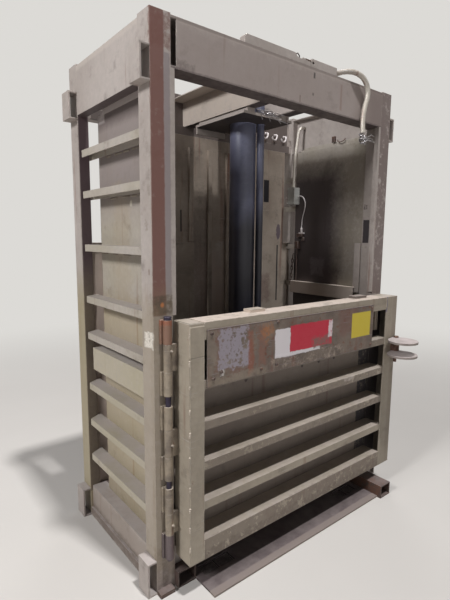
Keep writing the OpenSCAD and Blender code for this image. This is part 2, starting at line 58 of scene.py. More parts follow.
LOG = logging.getLogger("baler")

# What rubbing and dust do to the sheen of any finish.
RUBBED_ROUGHNESS = 0.42
RUBBED_METALLIC = 0.6
DUST_ROUGHNESS = 0.9
# A noise keeps to about 0.3 to 0.72, and a share of the surface is turned into a level of it.
NOISE_TOP = 0.72
NOISE_SPAN = 0.42
# Where a mark starts to break up, how far that level climbs, and how soft each break is.
BREAK_START = 0.2
BREAK_SPAN = 0.5
BREAK_SOFT = 0.08
# How much more the specks than the blots make a mark's outline wander, and the sum's mean.
SPECK_WANDER = 1.6
WANDER_MEAN = 1.3
# How much higher the blots stand than the grain, and how strongly both show.
BLOT_RELIEF = 3.0
BUMP_STRENGTH = 0.8
# Faces that meet below this angle are shaded as one.
SMOOTH_ANGLE = math.radians(35)


def linear(colour: str) -> tuple[float, float, float, float]:
    """Turns an sRGB hex colour to linear.

    Args:
        colour: The colour as "#rrggbb".

    Returns:
        Red, green, blue and an alpha of 1.
    """
    parts = [int(colour[i:i + 2], 16) / 255 for i in (1, 3, 5)]
    return (*[c / 12.92 if c <= 0.04045 else ((c + 0.055) / 1.055) ** 2.4 for c in parts], 1.0)


def add_node(tree: Tree, kind: str, links: dict[Any, Any] | None = None,
             out: int | str = 0, **settings: Any) -> Socket:
    """Adds a shader node with its settings, and sets or links its inputs.

    Args:
        tree: The node tree that it goes into.
        kind: The node's type, without "ShaderNode".
        links: Its inputs by name or number, each a value or another node's output.
        out: The output to return.
        settings: The node's own properties.

    Returns:
        The output socket named by out.
    """
    node = tree.nodes.new("ShaderNode" + kind)
    for key, value in settings.items():
        setattr(node, key, value)
    for key, value in (links or {}).items():
        if isinstance(value, Socket):
            tree.links.new(value, node.inputs[key])
        else:
            node.inputs[key].default_value = value
    return node.outputs[out]


def show(made: Thing) -> Thing:
    """Puts an object in the scene and returns it."""
    bpy.context.scene.collection.objects.link(made)
    return made


class Outline(Enum):
    """The outline of a placed mark."""

    BOX = 0
    OVAL = 1


@dataclass(frozen=True)
class Mark:
    """A stain, scrape, field of paint or patch of painted light or shade at one place, in metres in
    the frame.
    """

    low: Point
    high: Point
    colour: str
    strength: float = 1.0
    edge: float = 0.005
    ragged: float = 0.012
    broken: float = 0.0
    outline: Outline = Outline.BOX

    def mask(self, tree: Tree, place: Socket, wander: Socket, breaks: Socket) -> Socket:
        """Draws where the mark is.

        Args:
            tree: The node tree that it goes into.
            place: The point on the surface.
            wander: A noise vector about 0, which makes the outline ragged.
            breaks: A noise value that breaks the mark up inside.

        Returns:
            The share of the mark's colour, from 0 to its strength.
        """
        centre = [(a + b) / 2 for a, b in zip(self.low, self.high)]
        half = [(b - a) / 2 for a, b in zip(self.low, self.high)]
        moved = add_node(tree, "VectorMath", {0: wander, 1: (self.ragged,) * 3, 2: place},
                         operation="MULTIPLY_ADD")
        offset = add_node(tree, "VectorMath", {0: moved, 1: centre}, operation="SUBTRACT")
        if self.outline is Outline.OVAL:
            size = max(half)
            ratio = add_node(tree, "VectorMath", {0: offset, 1: half}, operation="DIVIDE")
            far = add_node(tree, "VectorMath", {0: ratio}, out="Value", operation="LENGTH")
            reach = add_node(tree, "Math", {0: far, 1: size, 2: -size}, operation="MULTIPLY_ADD")
        else:
            size = add_node(tree, "VectorMath", {0: offset}, operation="ABSOLUTE")
            past = add_node(tree, "VectorMath", {0: size, 1: half}, operation="SUBTRACT")
            x = add_node(tree, "SeparateXYZ", {0: past})
            wide = add_node(tree, "Math", {0: x, 1: x.node.outputs[1]}, operation="MAXIMUM")
            reach = add_node(tree, "Math", {0: wide, 1: x.node.outputs[2]}, operation="MAXIMUM")
        inside = add_node(tree, "MapRange", {0: reach, 1: -self.edge, 2: self.edge, 3: 1.0, 4: 0.0})
        low = BREAK_START + BREAK_SPAN * self.broken
        whole = add_node(tree, "MapRange", {
            0: breaks, 1: low - BREAK_SOFT, 2: low + BREAK_SOFT,
            3: 0.0 if self.broken else self.strength, 4: self.strength})
        return add_node(tree, "Math", {0: inside, 1: whole}, operation="MULTIPLY")


@dataclass(frozen=True)
class Face:
    """An upright face across X (0) or Y (1), and the depths between which its marks lie."""

    across: int
    near: float
    far: float

    def mark(self, start: float, foot: float, end: float, top: float, colour: str, *rest: float,
             outline: Outline = Outline.BOX) -> Mark:
        """Places a mark by its width and its height alone.

        Args:
            start: Its lowest Y or X along the face.
            foot: Its lowest Z.
            end: Its highest Y or X.
            top: Its highest Z.
            colour: Its colour as "#rrggbb".
            rest: Its strength, edge, ragged and broken, in that order.
            outline: Its outline.

        Returns:
            The mark.
        """
        if self.across:
            return Mark((start, self.near, foot), (end, self.far, top), colour, *rest,
                        outline=outline)
        return Mark((self.near, start, foot), (self.far, end, top), colour, *rest, outline=outline)


# The faces that most marks lie on: the posts' and the header's front, the door's rails, its sign
# plate and skin, the post's knuckles, the back wall, then the left posts' outside, the plates
# between them, the left panel, the right wall and the right post's inside.
on_front = Face(1, -0.01, 0.004).mark
on_rail = Face(1, -0.13, -0.12).mark
on_sign = Face(1, -0.14, -0.12).mark
on_skin = Face(1, -0.02, 0.0).mark
on_knuckle = Face(1, -0.06, 0.02).mark
on_back = Face(1, 0.77, 0.785).mark
on_post = Face(0, -0.852, -0.844).mark
on_side = Face(0, -0.86, -0.84).mark
on_panel = Face(0, -0.78, -0.76).mark
on_wall = Face(0, 0.755, 0.766).mark
on_guide = Face(0, 0.742, 0.756).mark


class Pattern(Enum):
    """What a layer of a finish follows: a noise, or the lie of the surface."""

    BROAD = "slow drift over the whole part"
    BLOTS = "blots 30 to 110 mm across, as dirt grows on plate kept indoors"
    SPECKS = "specks 8 to 30 mm across"
    RUNS = "runs of water and oil, 12 to 40 mm wide and twenty times as long"
    LINES = "scratches, 1 mm wide, drawn 3 mm wide so that they show at this distance"
    PATCHES = "the wide parts where rust gathers"
    AREAS = "the parts that something has rubbed"
    UPRIGHT = "faces that stand"
    LEVEL = "faces that look up"
    RIM = "edges"


# Each noise by its turn, its periods in a metre along X, Y and Z, its detail and its roughness.
NOISES: dict[Pattern, tuple[Point, Point, float, float]] = {
    Pattern.BLOTS: ((0.0, 0.0, 0.0), (9.0, 9.0, 9.0), 8.0, 0.68),
    Pattern.SPECKS: ((0.0, 0.0, 0.0), (34.0, 34.0, 34.0), 6.0, 0.7),
    Pattern.RUNS: ((0.0, 0.0, 0.0), (26.0, 26.0, 1.3), 4.0, 0.5),
    Pattern.LINES: ((0.5, 0.35, 0.0), (7.0, 7.0, 190.0), 2.0, 0.5),
}

# Each gate by the level at which it starts to open and the one at which it is open.
GATES: dict[Pattern, tuple[float, float]] = {
    Pattern.PATCHES: (0.35, 0.59), Pattern.AREAS: (0.41, 0.61), Pattern.UPRIGHT: (0.5, 0.1),
    Pattern.LEVEL: (0.6, 0.9), Pattern.RIM: (0.99, 0.85),
}


@dataclass(frozen=True)
class Layer:
    """One colour of a finish, laid where a pattern is strong and every gate is open."""

    colour: str
    pattern: Pattern
    share: float
    soft: float
    full: float
    gates: tuple[Pattern, ...] = ()

    def amount(self, tree: Tree, ground: dict[Pattern, Socket]) -> Socket:
        """Draws how much of the layer shows.

        Args:
            tree: The node tree that it goes into.
            ground: The patterns' outputs.

        Returns:
            Its share at a point, from 0 to full.
        """
        level = NOISE_TOP - NOISE_SPAN * self.share
        shown = add_node(tree, "MapRange", {0: ground[self.pattern], 1: level - self.soft,
                                            2: level + self.soft, 4: self.full})
        for gate in self.gates:
            shown = add_node(tree, "Math", {0: shown, 1: ground[gate]}, operation="MULTIPLY")
        return shown


@dataclass(frozen=True)
class Finish:
    """One real surface: its colours, its sheen, its wear and its relief.

    Shares run from 0, none, to 1, all over. Lengths are in metres.
    """

    name: str
    colour: str
    drift: str
    grime: str = "#4a3f38"
    bare: str = "#a8a29a"
    rust: str = "#6b4030"
    dust: str = "#b5aaa2"
    metallic: float = 0.0
    roughness: float = 0.6
    grime_share: float = 0.08
    rust_share: float = 0.04
    run_share: float = 0.03
    dust_share: float = 0.5
    scratch_share: float = 0.15
    edge: float = 0.003
    edge_share: float = 0.6
    drift_size: float = 0.5
    grain: float = 0.004
    relief: float = 0.0003

    def ground(self, tree: Tree, place: Socket, rounded: Socket) -> dict[Pattern, Socket]:
        """Draws every pattern that the layers follow.

        Args:
            tree: The node tree that it goes into.
            place: The point on the surface.
            rounded: The normal with its edges rounded.

        Returns:
            Each pattern's output.
        """
        normal = add_node(tree, "NewGeometry", out="True Normal")
        ground = {Pattern.BROAD: add_node(tree, "TexNoise", {
            "Vector": place, "Scale": 1 / self.drift_size, "Detail": 5.0, "Roughness": 0.6})}
        for pattern, (turn, periods, detail, rough) in NOISES.items():
            moved = add_node(tree, "Mapping", {"Vector": place, "Rotation": turn, "Scale": periods})
            ground[pattern] = add_node(tree, "TexNoise", {"Vector": moved, "Scale": 1.0,
                                                          "Detail": detail, "Roughness": rough})
        up = add_node(tree, "SeparateXYZ", {0: normal}, out=2)
        facing = add_node(tree, "VectorMath", {0: rounded, 1: normal}, out="Value",
                          operation="DOT_PRODUCT")
        sources = {Pattern.PATCHES: ground[Pattern.BROAD], Pattern.AREAS: ground[Pattern.BLOTS],
                   Pattern.UPRIGHT: up, Pattern.LEVEL: up, Pattern.RIM: facing}
        for pattern, (start, end) in GATES.items():
            ground[pattern] = add_node(tree, "MapRange", {0: sources[pattern], 1: start, 2: end})
        return ground

    def material(self, name: str, marks: Iterable[Mark] = ()) -> Material:
        """Builds the finish as a material.

        Args:
            name: The material's name.
            marks: Marks that only this copy of the finish has.

        Returns:
            The material.
        """
        made = bpy.data.materials.new(name)
        made.use_nodes = True
        tree = made.node_tree
        tree.nodes.clear()
        place = add_node(tree, "TexCoord", out="Object")
        rounded = add_node(tree, "Bevel", {"Radius": self.edge}, samples=4)
        ground = self.ground(tree, place, rounded)
        blots, specks = ground[Pattern.BLOTS], ground[Pattern.SPECKS]

        soiled = (
            Layer(self.grime, Pattern.BLOTS, self.grime_share, 0.12, 0.7),
            Layer(self.rust, Pattern.RUNS, self.run_share, 0.08, 0.75, (Pattern.UPRIGHT,)),
            Layer(self.rust, Pattern.SPECKS, self.rust_share, 0.04, 1.0, (Pattern.PATCHES,)),
            Layer(self.bare, Pattern.LINES, self.scratch_share / 2, 0.02, 0.55, (Pattern.AREAS,)),
        )
        laid = [(layer.colour, layer.amount(tree, ground)) for layer in soiled]
        if marks:
            wander = add_node(tree, "VectorMath", {
                0: specks.node.outputs[1], 1: (SPECK_WANDER,) * 3, 2: blots.node.outputs[1]},
                operation="MULTIPLY_ADD")
            wander = add_node(tree, "VectorMath", {0: wander, 1: (WANDER_MEAN,) * 3},
                              operation="SUBTRACT")
            laid += [(mark.colour, mark.mask(tree, place, wander, specks)) for mark in marks]
        worn = Layer(self.bare, Pattern.SPECKS, self.edge_share, 0.15, 1.0, (Pattern.RIM,))
        dusty = Layer(self.dust, Pattern.BLOTS, self.dust_share, 0.25, 0.85, (Pattern.LEVEL,))
        rubbed, settled = worn.amount(tree, ground), dusty.amount(tree, ground)
        laid += [(self.bare, rubbed), (self.dust, settled)]

        spread = add_node(tree, "MapRange", {0: ground[Pattern.BROAD], 1: 0.35, 2: 0.65})
        colour = add_node(tree, "Mix", {0: spread, 6: linear(self.colour), 7: linear(self.drift)},
                          out=2, data_type="RGBA")
        tone = add_node(tree, "MapRange", {0: specks, 1: 0.3, 2: 0.7, 3: 0.9, 4: 1.1})
        colour = add_node(tree, "VectorMath", {0: colour, "Scale": tone}, operation="SCALE")
        for tint, amount in laid:
            colour = add_node(tree, "Mix", {0: amount, 6: colour, 7: linear(tint)}, out=2,
                              data_type="RGBA")

        matt = add_node(tree, "MapRange", {0: specks, 1: 0.3, 2: 0.7, 3: self.roughness - 0.08,
                                           4: self.roughness + 0.1})
        for amount, value in ((rubbed, RUBBED_ROUGHNESS), (settled, DUST_ROUGHNESS)):
            matt = add_node(tree, "Mix", {0: amount, 2: matt, 3: value})
        skin = add_node(tree, "TexNoise", {"Vector": place, "Scale": 1 / self.grain, "Detail": 3.0})
        height = add_node(tree, "Math", {0: blots, 1: BLOT_RELIEF, 2: skin},
                          operation="MULTIPLY_ADD")
        bump = add_node(tree, "Bump", {"Height": height, "Distance": self.relief,
                                       "Strength": BUMP_STRENGTH, "Normal": rounded})
        surface = {"Base Color": colour, "Roughness": matt, "Normal": bump,
                   "Metallic": self.metallic}
        if self.metallic == 0.0 and self.edge_share > 0:
            surface["Metallic"] = add_node(tree, "Math", {0: rubbed, 1: RUBBED_METALLIC},
                                           operation="MULTIPLY")
        shader = add_node(tree, "BsdfPrincipled", surface)
        tree.links.new(shader, tree.nodes.new("ShaderNodeOutputMaterial").inputs[0])
        return made


# Alkyd enamel sprayed on hot-rolled steel: matt, chalky and dirty, so it drifts between greys.
FRAME_PAINT = Finish("alkyd_enamel_on_rolled_steel", "#ada49f", "#9b918b", dust="#b4acaa")
# The same enamel on the side plates, drifting towards olive: a painted tint of yellow light
# reflected onto them.
SIDE_PAINT = Finish("olive_tinted_alkyd_enamel", "#a9a199", "#9f9788", dust="#b2a9a8", grime="#5a4a38")
# The same enamel on the door, rubbed by bales and hands: browner, with long scrapes.
DOOR_PAINT = Finish("rubbed_alkyd_enamel", "#a29889", "#8c8274", dust="#b3a7a0", grime="#463b35",
                    scratch_share=0.3)
# Thin rolled sheet, primed and painted once: the paint has worn to a lilac-grey primer.
SIGN_PAINT = Finish("worn_enamel_on_grey_primer", "#83776b", "#685a52", bare="#9a949c",
                    rust_share=0.3, grime_share=0.45, scratch_share=0.25)
# Hot-rolled base sections that stand on a wet floor: mill scale, rust and caked dirt.
BASE_STEEL = Finish("rusted_rolled_steel", "#5f4d46", "#4e413b", dust="#7f7573", rust="#5c4034",
                    rust_share=0.6, grime_share=0.6, roughness=0.75, edge_share=0.4)
# Plate that bales slide along: bare and scoured, with dark oil in the corners.
CHAMBER_STEEL = Finish("scoured_mild_steel", "#a3978b", "#83776c", grime="#3a302f", dust="#a0968c",
                       roughness=0.5, metallic=0.1, run_share=0.16, grime_share=0.15)
# Turned steel knuckles and pin, greased for years: dark, half shiny, coppery where rubbed.
HINGE_STEEL = Finish("greased_turned_steel", "#5b4a48", "#73503c", bare="#b08468", dust="#6a5a54",
                     metallic=0.55, roughness=0.42, grime="#2a2024", rust="#8a5638", dust_share=0.3)
# Steel that years of rubbing have bared: light and dull-bright, with rust in its pores.
WORN_EDGE = Finish("rubbed_mild_steel", "#c3b8aa", "#a89a8c", metallic=0.25, roughness=0.45,
                   rust_share=0.3, dust="#cfc6bc")
# Small fittings left bare indoors: brown-black rust with a few rubbed spots.
RUSTY_STEEL = Finish("rusted_mild_steel", "#4d3d38", "#3a2f30", bare="#9a8f88", metallic=0.2,
                     rust="#74503c", rust_share=0.5, roughness=0.7, dust="#6a5c56")
# Soft white vinyl and dip enamel: warm white, half matt, with thumbed dirt.
HOOK_ENAMEL = Finish("white_dip_enamel", "#d8d2d2", "#c4bcbc", grime="#8a7f7c", bare="#a09894",
                     roughness=0.4, dust="#d8d2cf", relief=0.00008)
# Cold-drawn wire: bright silver streaks, dull where it was bent.
BRIGHT_WIRE = Finish("bright_drawn_steel_wire", "#b9b6bb", "#8c888c", metallic=0.8, roughness=0.32,
                     grime="#3a3436", grime_share=0.3, dust="#b4b0b2", relief=0.00005)
# Turned pin under old grease: blue-black, with a dull shine.
PIN_STEEL = Finish("greased_turned_pin", "#3f384c", "#2c2734", bare="#6a6474", metallic=0.5,
                   roughness=0.45, grime="#231e28", rust="#6a4032", dust="#5c545c")
# The frame's enamel on the knuckles, with grease squeezed out at every joint.
KNUCKLE_PAINT = Finish("greasy_alkyd_enamel", "#9b9080", "#857868", grime="#3a2f30", dust="#b0a598",
                       grime_share=0.35, rust_share=0.15, roughness=0.5)
# Flame-cut discs left bare and dusty: nearly white on top, dull brown at the cut edge.
LATCH_STEEL = Finish("dusty_flame_cut_steel", "#958b89", "#81776f", dust="#b9aead", metallic=0.3,
                     dust_share=0.9)
# Press plate: thick rolled steel under oil mist and paper dust.
PLATEN_STEEL = Finish("oiled_rolled_steel", "#4c4642", "#5c4c42", metallic=0.4, dust="#7d746c")
# Hard chrome on a ground rod, under a thin oil film.
ROD_CHROME = Finish("hard_chrome_ground", "#c4c6ca", "#b4b6bc", metallic=1.0, roughness=0.16,
                    grime_share=0.1, rust_share=0.02, run_share=0.05, scratch_share=0.1,
                    edge_share=0.0, dust_share=0.2, relief=0.00005)
# Dark stoving enamel on a drawn tube: semi-gloss, blue-black, with oil runs. Its colour is set
# lighter, as painted light for the lit upper barrel.
BARREL_PAINT = Finish("dark_stoving_enamel", "#686a7e", "#4b4d60", grime="#1e1d24", bare="#6c7080",
                      rust="#3f2c28", dust="#5a5c68", roughness=0.38, rust_share=0.02)
# Light grey powder coat on a sheet-steel box.
BOX_METAL = Finish("grey_powder_coat", "#a6a6a3", "#96958f", roughness=0.5, rust_share=0.05)
# Galvanised sheath: bluish where it is clean, beige-grey where dust sticks.
CONDUIT_ZINC = Finish("galvanised_sheath", "#bcb6ac", "#a89e94", bare="#e2e6f0", dust="#cfcfd2",
                      metallic=0.35, roughness=0.45, drift_size=0.2, rust_share=0.05)

FINISHES: dict[str, Finish] = {
    "base_steel": BASE_STEEL, "frame_paint": FRAME_PAINT, "side_paint": SIDE_PAINT,
    "chamber_steel": CHAMBER_STEEL, "door_paint": DOOR_PAINT, "sign_paint": SIGN_PAINT,
    "hinge_steel": HINGE_STEEL, "latch_steel": LATCH_STEEL, "platen_steel": PLATEN_STEEL,
    "rod_chrome": ROD_CHROME, "barrel_paint": BARREL_PAINT, "box_metal": BOX_METAL,
    "conduit_zinc": CONDUIT_ZINC,
}

# The finish of nodes that wear another one than their slot's.
OWN_FINISHES: dict[str, Finish] = {
    "hinge_pin": PIN_STEEL, "post_knuckles": KNUCKLE_PAINT, "door_knuckles": KNUCKLE_PAINT,
}

# Darkens the front of each rib and of the bottom rail.
RIB_FRONT_DARKENING = Mark((-0.68, -0.2, 0.15), (0.73, -0.1205, 1.1), "#655850", 0.55, 0.0005, 0.03)

# Marks that show on one node each, by node.
MARKS: dict[str, tuple[Mark, ...]] = {
    "cylinder": (
        # Painted shade: the barrel below 1.76 m is darkened to near black.
        Mark((-0.5, 0.0, 0.0), (0.5, 0.9, 1.76), "#17151d", 0.85, 0.09, 0.03),
    ),
    "front_left_post": (
        on_front(-0.85, 1.3, -0.785, 2.53, "#68423a", 0.92, 0.003, 0.006),
        on_front(-0.85, 2.38, -0.75, 2.53, "#68423a", 0.85, 0.01, 0.05),
        on_front(-0.785, 1.385, -0.757, 2.36, "#7c7276", 0.7, 0.003, 0.006),
        on_front(-0.845, 1.305, -0.756, 1.385, "#3b2b26", 0.9, 0.006, 0.02),
        on_front(-0.812, 1.335, -0.795, 1.357, "#b86a34", 0.9, 0.004, 0.006, outline=Outline.OVAL),
        on_front(-0.85, 0.19, -0.75, 1.29, "#6f6559", 0.55, 0.03, 0.06),
        on_front(-0.85, 0.0, -0.75, 0.2, "#4c352c", 0.85, 0.03, 0.06),
        # Painted reflection: a yellow-olive tint low on the post's left face.
        on_side(0.0, 0.18, 0.099, 1.29, "#8f8164", 0.8, 0.15, 0.1),
        on_post(0.005, 1.155, 0.08, 1.222, "#e4ded4", 0.9, 0.004, 0.03, 0.35),
        on_post(0.012, 1.803, 0.043, 1.843, "#857c74", 0.8, 0.002, 0.03, 0.6),
        on_post(0.033, 1.655, 0.064, 1.71, "#857c74", 0.8, 0.002, 0.03, 0.6),
        on_post(0.028, 1.474, 0.034, 1.497, "#5a4034", 0.9, 0.002, 0.003),
    ),
    "rear_left_post": (
        # Painted reflection: a yellow-olive tint low on the post.
        Mark((-1.0, 0.6, 0.0), (-0.7, 1.0, 1.35), "#8a7d5e", 0.7, 0.1, 0.1),
        # Painted shade: the post's front-facing side, darkened to near black.
        Mark((-0.846, 0.76, 0.15), (-0.785, 0.772, 2.262), "#46343a", 0.92, 0.004, 0.004),
        # Painted reflection: a yellow-olive tint low on the post's left face.
        on_side(0.775, 0.18, 0.87, 1.3, "#a59c80", 0.6, 0.2, 0.1),
    ),
    "front_right_post": (
        Mark((0.7, -0.1, 1.28), (0.9, 0.006, 2.52), "#5f4e4b", 0.75, 0.004, 0.03),
        # Painted shade: a near-black patch where a slot's dark opening is.
        on_guide(0.046, 1.606, 0.09, 1.753, "#262026", 0.95, 0.002, 0.004),
        on_guide(0.07, 1.82, 0.092, 1.85, "#3a3032", 0.8, 0.003, 0.02),
    ),
    "left_panel": (
        # Painted shade under the side header, over the panel's upper part.
        Mark((-0.95, 0.05, 1.78), (-0.6, 0.78, 2.4), "#7c7170", 0.75, 0.12, 0.06),
        # Painted shade: a dark band above and below the panel's top strip.
        Mark((-0.85, 0.0, 2.18), (-0.7, 0.8, 2.3), "#514644", 0.7, 0.02, 0.02),
        # Painted light: the panel's top strip and its curved rear end are lightened.
        Mark((-0.85, 0.0, 2.248), (-0.7, 0.64, 2.3), "#b0a6a3", 0.9, 0.001, 0.003),
        Mark((-0.85, 0.612, 2.21), (-0.7, 0.76, 2.3), "#b3aaa8", 0.85, 0.006, 0.003),
        # Painted reflection: a yellow-olive tint over the panel's lower part.
        on_panel(0.09, 0.17, 0.7, 1.25, "#a3916a", 0.8, 0.12, 0.12),
        on_panel(0.38, 1.307, 0.506, 1.863, "#9c8a6c", 0.45, 0.05, 0.1),
        on_panel(0.326, 1.778, 0.35, 1.806, "#cfc7b6", 0.8, 0.004, 0.01, outline=Outline.OVAL),
        on_panel(0.09, 0.17, 0.7, 0.3, "#6d6153", 0.5, 0.06, 0.1),
    ),
    "left_cover": (
        # Painted reflection: a yellow-olive tint on the cover's outside.
        on_side(0.09, 0.9, 0.67, 1.05, "#aaa07c", 0.6, 0.03, 0.06),
    ),
    "left_lower_ribs": (
        # Painted reflection: a yellow-olive tint on the ribs' outside.
        on_side(0.09, 0.3, 0.74, 0.83, "#aaa182", 0.6, 0.05, 0.08),
    ),
    "left_base_rail": (
        Mark((-0.9, 0.09, 0.0), (-0.7, 0.8, 0.18), "#8c7f74", 0.55, 0.03, 0.08),
        Mark((-0.9, 0.09, 0.0), (-0.7, 0.8, 0.06), "#56463e", 0.6, 0.02, 0.05, 0.3),
    ),
    "front_header": (
        Mark((-0.74, -0.15, 2.25), (1.0, 0.15, 2.51), "#887b77", 0.55, 0.04, 0.08),
        on_front(-0.85, 2.49, 0.85, 2.495, "#a89c94", 0.5, 0.002, 0.004, 0.4),
        on_front(-0.85, 2.497, 0.85, 2.512, "#695d58", 0.5, 0.003, 0.006),
        on_front(0.118, 2.458, 0.13, 2.484, "#2f2728", 0.9, 0.003, 0.006),
        on_front(0.112, 2.372, 0.122, 2.384, "#3a302f", 0.8, 0.003, 0.006),
        on_front(0.015, 2.321, 0.02, 2.354, "#5c3a30", 0.85, 0.002, 0.004),
        on_front(0.344, 2.341, 0.357, 2.471, "#7e6058", 0.6, 0.006, 0.01),
        Mark((0.56, -0.2, 2.2), (1.0, 0.2, 2.6), "#6b5c58", 0.6, 0.1, 0.05),
        on_front(-0.752, 2.312, -0.64, 2.345, "#4d423f", 0.6, 0.01, 0.04, 0.4),
        on_front(-0.8, 2.305, 0.8, 2.318, "#57494a", 0.6, 0.003, 0.01, 0.2),
        # Painted shade on the header's underside.
        Mark((-0.8, -0.01, 2.3), (0.8, 0.2, 2.311), "#2d2226", 0.92, 0.002, 0.002),
    ),
    "left_header": (
        # Painted shade on the header's underside.
        Mark((-0.8465, 0.05, 2.25), (-0.7, 0.8, 2.2618), "#3f3234", 0.9, 0.0005, 0.0),
        on_side(0.09, 2.48, 0.78, 2.51, "#bcb2aa", 0.5, 0.006, 0.01, 0.3),
    ),
    "right_ledge": (
        # Painted light: the ledge is lightened where light falls on it.
        Mark((0.6, 0.0, 0.9), (0.9, 0.9, 1.5), "#c9bbb0", 0.85, 0.01, 0.02, 0.2),
    ),
    "rear_rail": (
        # Painted shade over the rear header's front face.
        Mark((-0.77, 0.7, 2.1), (0.77, 0.8065, 2.52), "#4a3e3b", 0.8, 0.001, 0.0),
    ),
    "crosshead_plate": (
        # Painted shade on the plate's underside.
        Mark((-0.3, 0.1, 2.273), (0.3, 0.631, 2.2785), "#211a1e", 0.93, 0.0004, 0.0),
    ),
    "right_beam": (
        # Painted shade on the beam's underside.
        Mark((0.0, 0.05, 2.3), (0.3, 0.9, 2.3126), "#2d2327", 0.9, 0.0004, 0.0),
    ),
    "left_beam": (
        # Painted light: the beam's lit web is lightened.
        Mark((-0.26, 0.09, 2.25), (-0.15, 0.81, 2.5), "#b9ada2", 0.85, 0.02, 0.05),
        # Painted shade on the beam's underside.
        Mark((-0.3, 0.05, 2.3), (0.0, 0.9, 2.3126), "#2d2327", 0.9, 0.0004, 0.0),
    ),
    "right_panel": (
        # Darkens the wall's inside: oil stain and painted shade.
        on_wall(0.09, 0.17, 0.7, 2.17, "#6c6258", 0.55, 0.02, 0.05),
        # Painted shade over the wall's rear part, where the shadow falls.
        Mark((0.6, 0.3, 0.17), (0.9, 0.76, 2.1), "#352b2f", 0.9, 0.07, 0.06),
        on_wall(0.3, 1.3, 0.42, 1.42, "#4a3a3c", 0.7, 0.03, 0.06),
        on_wall(0.42, 1.38, 0.52, 1.48, "#8a8084", 0.6, 0.02, 0.05, 0.3),
    ),
    "back_panel": (
        # Painted light: the lower back wall is lightened where light falls on it.
        Mark((-0.9, 0.6, 0.0), (0.48, 1.0, 1.5), "#b8a89e", 0.8, 0.12, 0.1),
        # Painted shade: a near-black notch in the back wall.
        on_back(0.518, 1.892, 0.57, 2.05, "#17141a", 1.0, 0.002, 0.003),
        on_back(0.651, 1.622, 0.698, 1.741, "#46384a", 0.8, 0.006, 0.01, outline=Outline.OVAL),
        # Painted shade: this and the next mark are near-black slits in the back wall.
        on_back(0.662, 1.159, 0.676, 1.581, "#1b161b", 0.95, 0.002, 0.003),
        on_back(-0.204, 1.67, -0.192, 1.805, "#1b161b", 0.9, 0.002, 0.003),
        on_back(0.498, 1.169, 0.586, 1.362, "#5c3a3a", 0.7, 0.02, 0.05),
        on_back(-0.108, 0.2, 0.012, 1.8, "#4c3f3a", 0.75, 0.03, 0.05, 0.1),
        on_back(0.18, 0.2, 0.4, 1.7, "#54474a", 0.6, 0.04, 0.06, 0.2),
        on_back(0.082, 1.44, 0.137, 1.6, "#aaa29c", 0.55, 0.01, 0.03, 0.4),
    ),
    "door_skin": (
        Mark((-0.68, -0.2, 0.2), (0.64, 0.2, 0.97), "#74686a", 0.45, 0.05, 0.1),
        *(on_skin(x - 0.012, 0.915, x + 0.012, 0.955, "#3b3032", 0.75, 0.003, 0.005,
                  outline=Outline.OVAL) for x in (-0.605, -0.331, 0.088, 0.232, 0.371)),
        # Painted shadow of the sign plate, in a band on the skin below it.
        Mark((-0.68, -0.2, 0.96), (0.65, -0.0085, 1.01), "#33282a", 0.85, 0.002, 0.004),
        # Painted shade: near black at the right ends of the bays.
        Mark((0.622, -0.2, 0.2), (0.76, -0.0085, 1.05), "#24232e", 0.9, 0.002, 0.012),
        # Painted shade in the window between the sign plate and the right stile.
        Mark((0.5, -0.2, 1.03), (0.76, -0.0085, 1.28), "#1a191f", 0.95, 0.002, 0.004),
        on_skin(-0.495, 0.595, -0.43, 0.602, "#a39a98", 0.7, 0.002, 0.01, 0.3),
        on_skin(-0.229, 0.54, -0.037, 0.547, "#a39a98", 0.7, 0.002, 0.01, 0.3),
        on_skin(-0.44, 0.735, -0.38, 0.741, "#a39a98", 0.7, 0.002, 0.01, 0.3),
    ),
    "door_top_rail": (
        # Lighter top face of the door: dust and painted light.
        Mark((-0.76, -0.14, 1.2745), (0.86, 0.01, 1.29), "#cdbdb0", 0.85, 0.0008, 0.01, 0.1),
        Mark((0.482, -0.14, 1.2768), (0.604, 0.01, 1.31), "#4a3f3c", 0.85, 0.0008, 0.0),
        on_rail(-0.22, 1.206, 0.166, 1.24, "#4a3c36", 0.7, 0.006, 0.02, 0.75),
        on_rail(-0.66, 1.232, 0.72, 1.245, "#5c4f46", 0.4, 0.006, 0.02, 0.6),
    ),
    "door_rib_1": (
        RIB_FRONT_DARKENING,
        on_rail(-0.3, 0.97, 0.724, 1.03, "#5a4e46", 0.5, 0.006, 0.03, 0.8),
    ),
    "door_rib_2": (
        RIB_FRONT_DARKENING,
        on_rail(0.0, 0.78, 0.724, 0.84, "#4d413c", 0.6, 0.006, 0.03, 0.7),
        on_rail(0.33, 0.815, 0.42, 0.835, "#b5aba4", 0.8, 0.004, 0.03, 0.4),
    ),
    "door_rib_3": (
        RIB_FRONT_DARKENING,
        on_rail(-0.1, 0.6, 0.724, 0.65, "#55483f", 0.5, 0.006, 0.03, 0.7),
    ),
    "door_bottom_rail": (
        RIB_FRONT_DARKENING,
        on_rail(-0.68, 0.16, 0.724, 0.205, "#54463e", 0.7, 0.012, 0.05, 0.45),
        on_rail(-0.3, 0.2, 0.724, 0.262, "#6d5c54", 0.6, 0.012, 0.05, 0.6),
    ),
    "door_right_stile": (
        # Painted shade inside the stile's open channel.
        Mark((0.6, -0.1185, 0.15), (0.836, -0.009, 1.27), "#232029", 0.9, 0.0005, 0.0),
        on_rail(0.723, 1.182, 0.736, 1.283, "#4a4672", 0.7, 0.003, 0.006),
        on_rail(0.8, 0.16, 0.85, 1.28, "#786a60", 0.5, 0.01, 0.03),
    ),
    "sign_plate": (
        on_sign(-0.617, 1.034, -0.41, 1.258, "#6e4a40", 0.75, 0.01, 0.1),
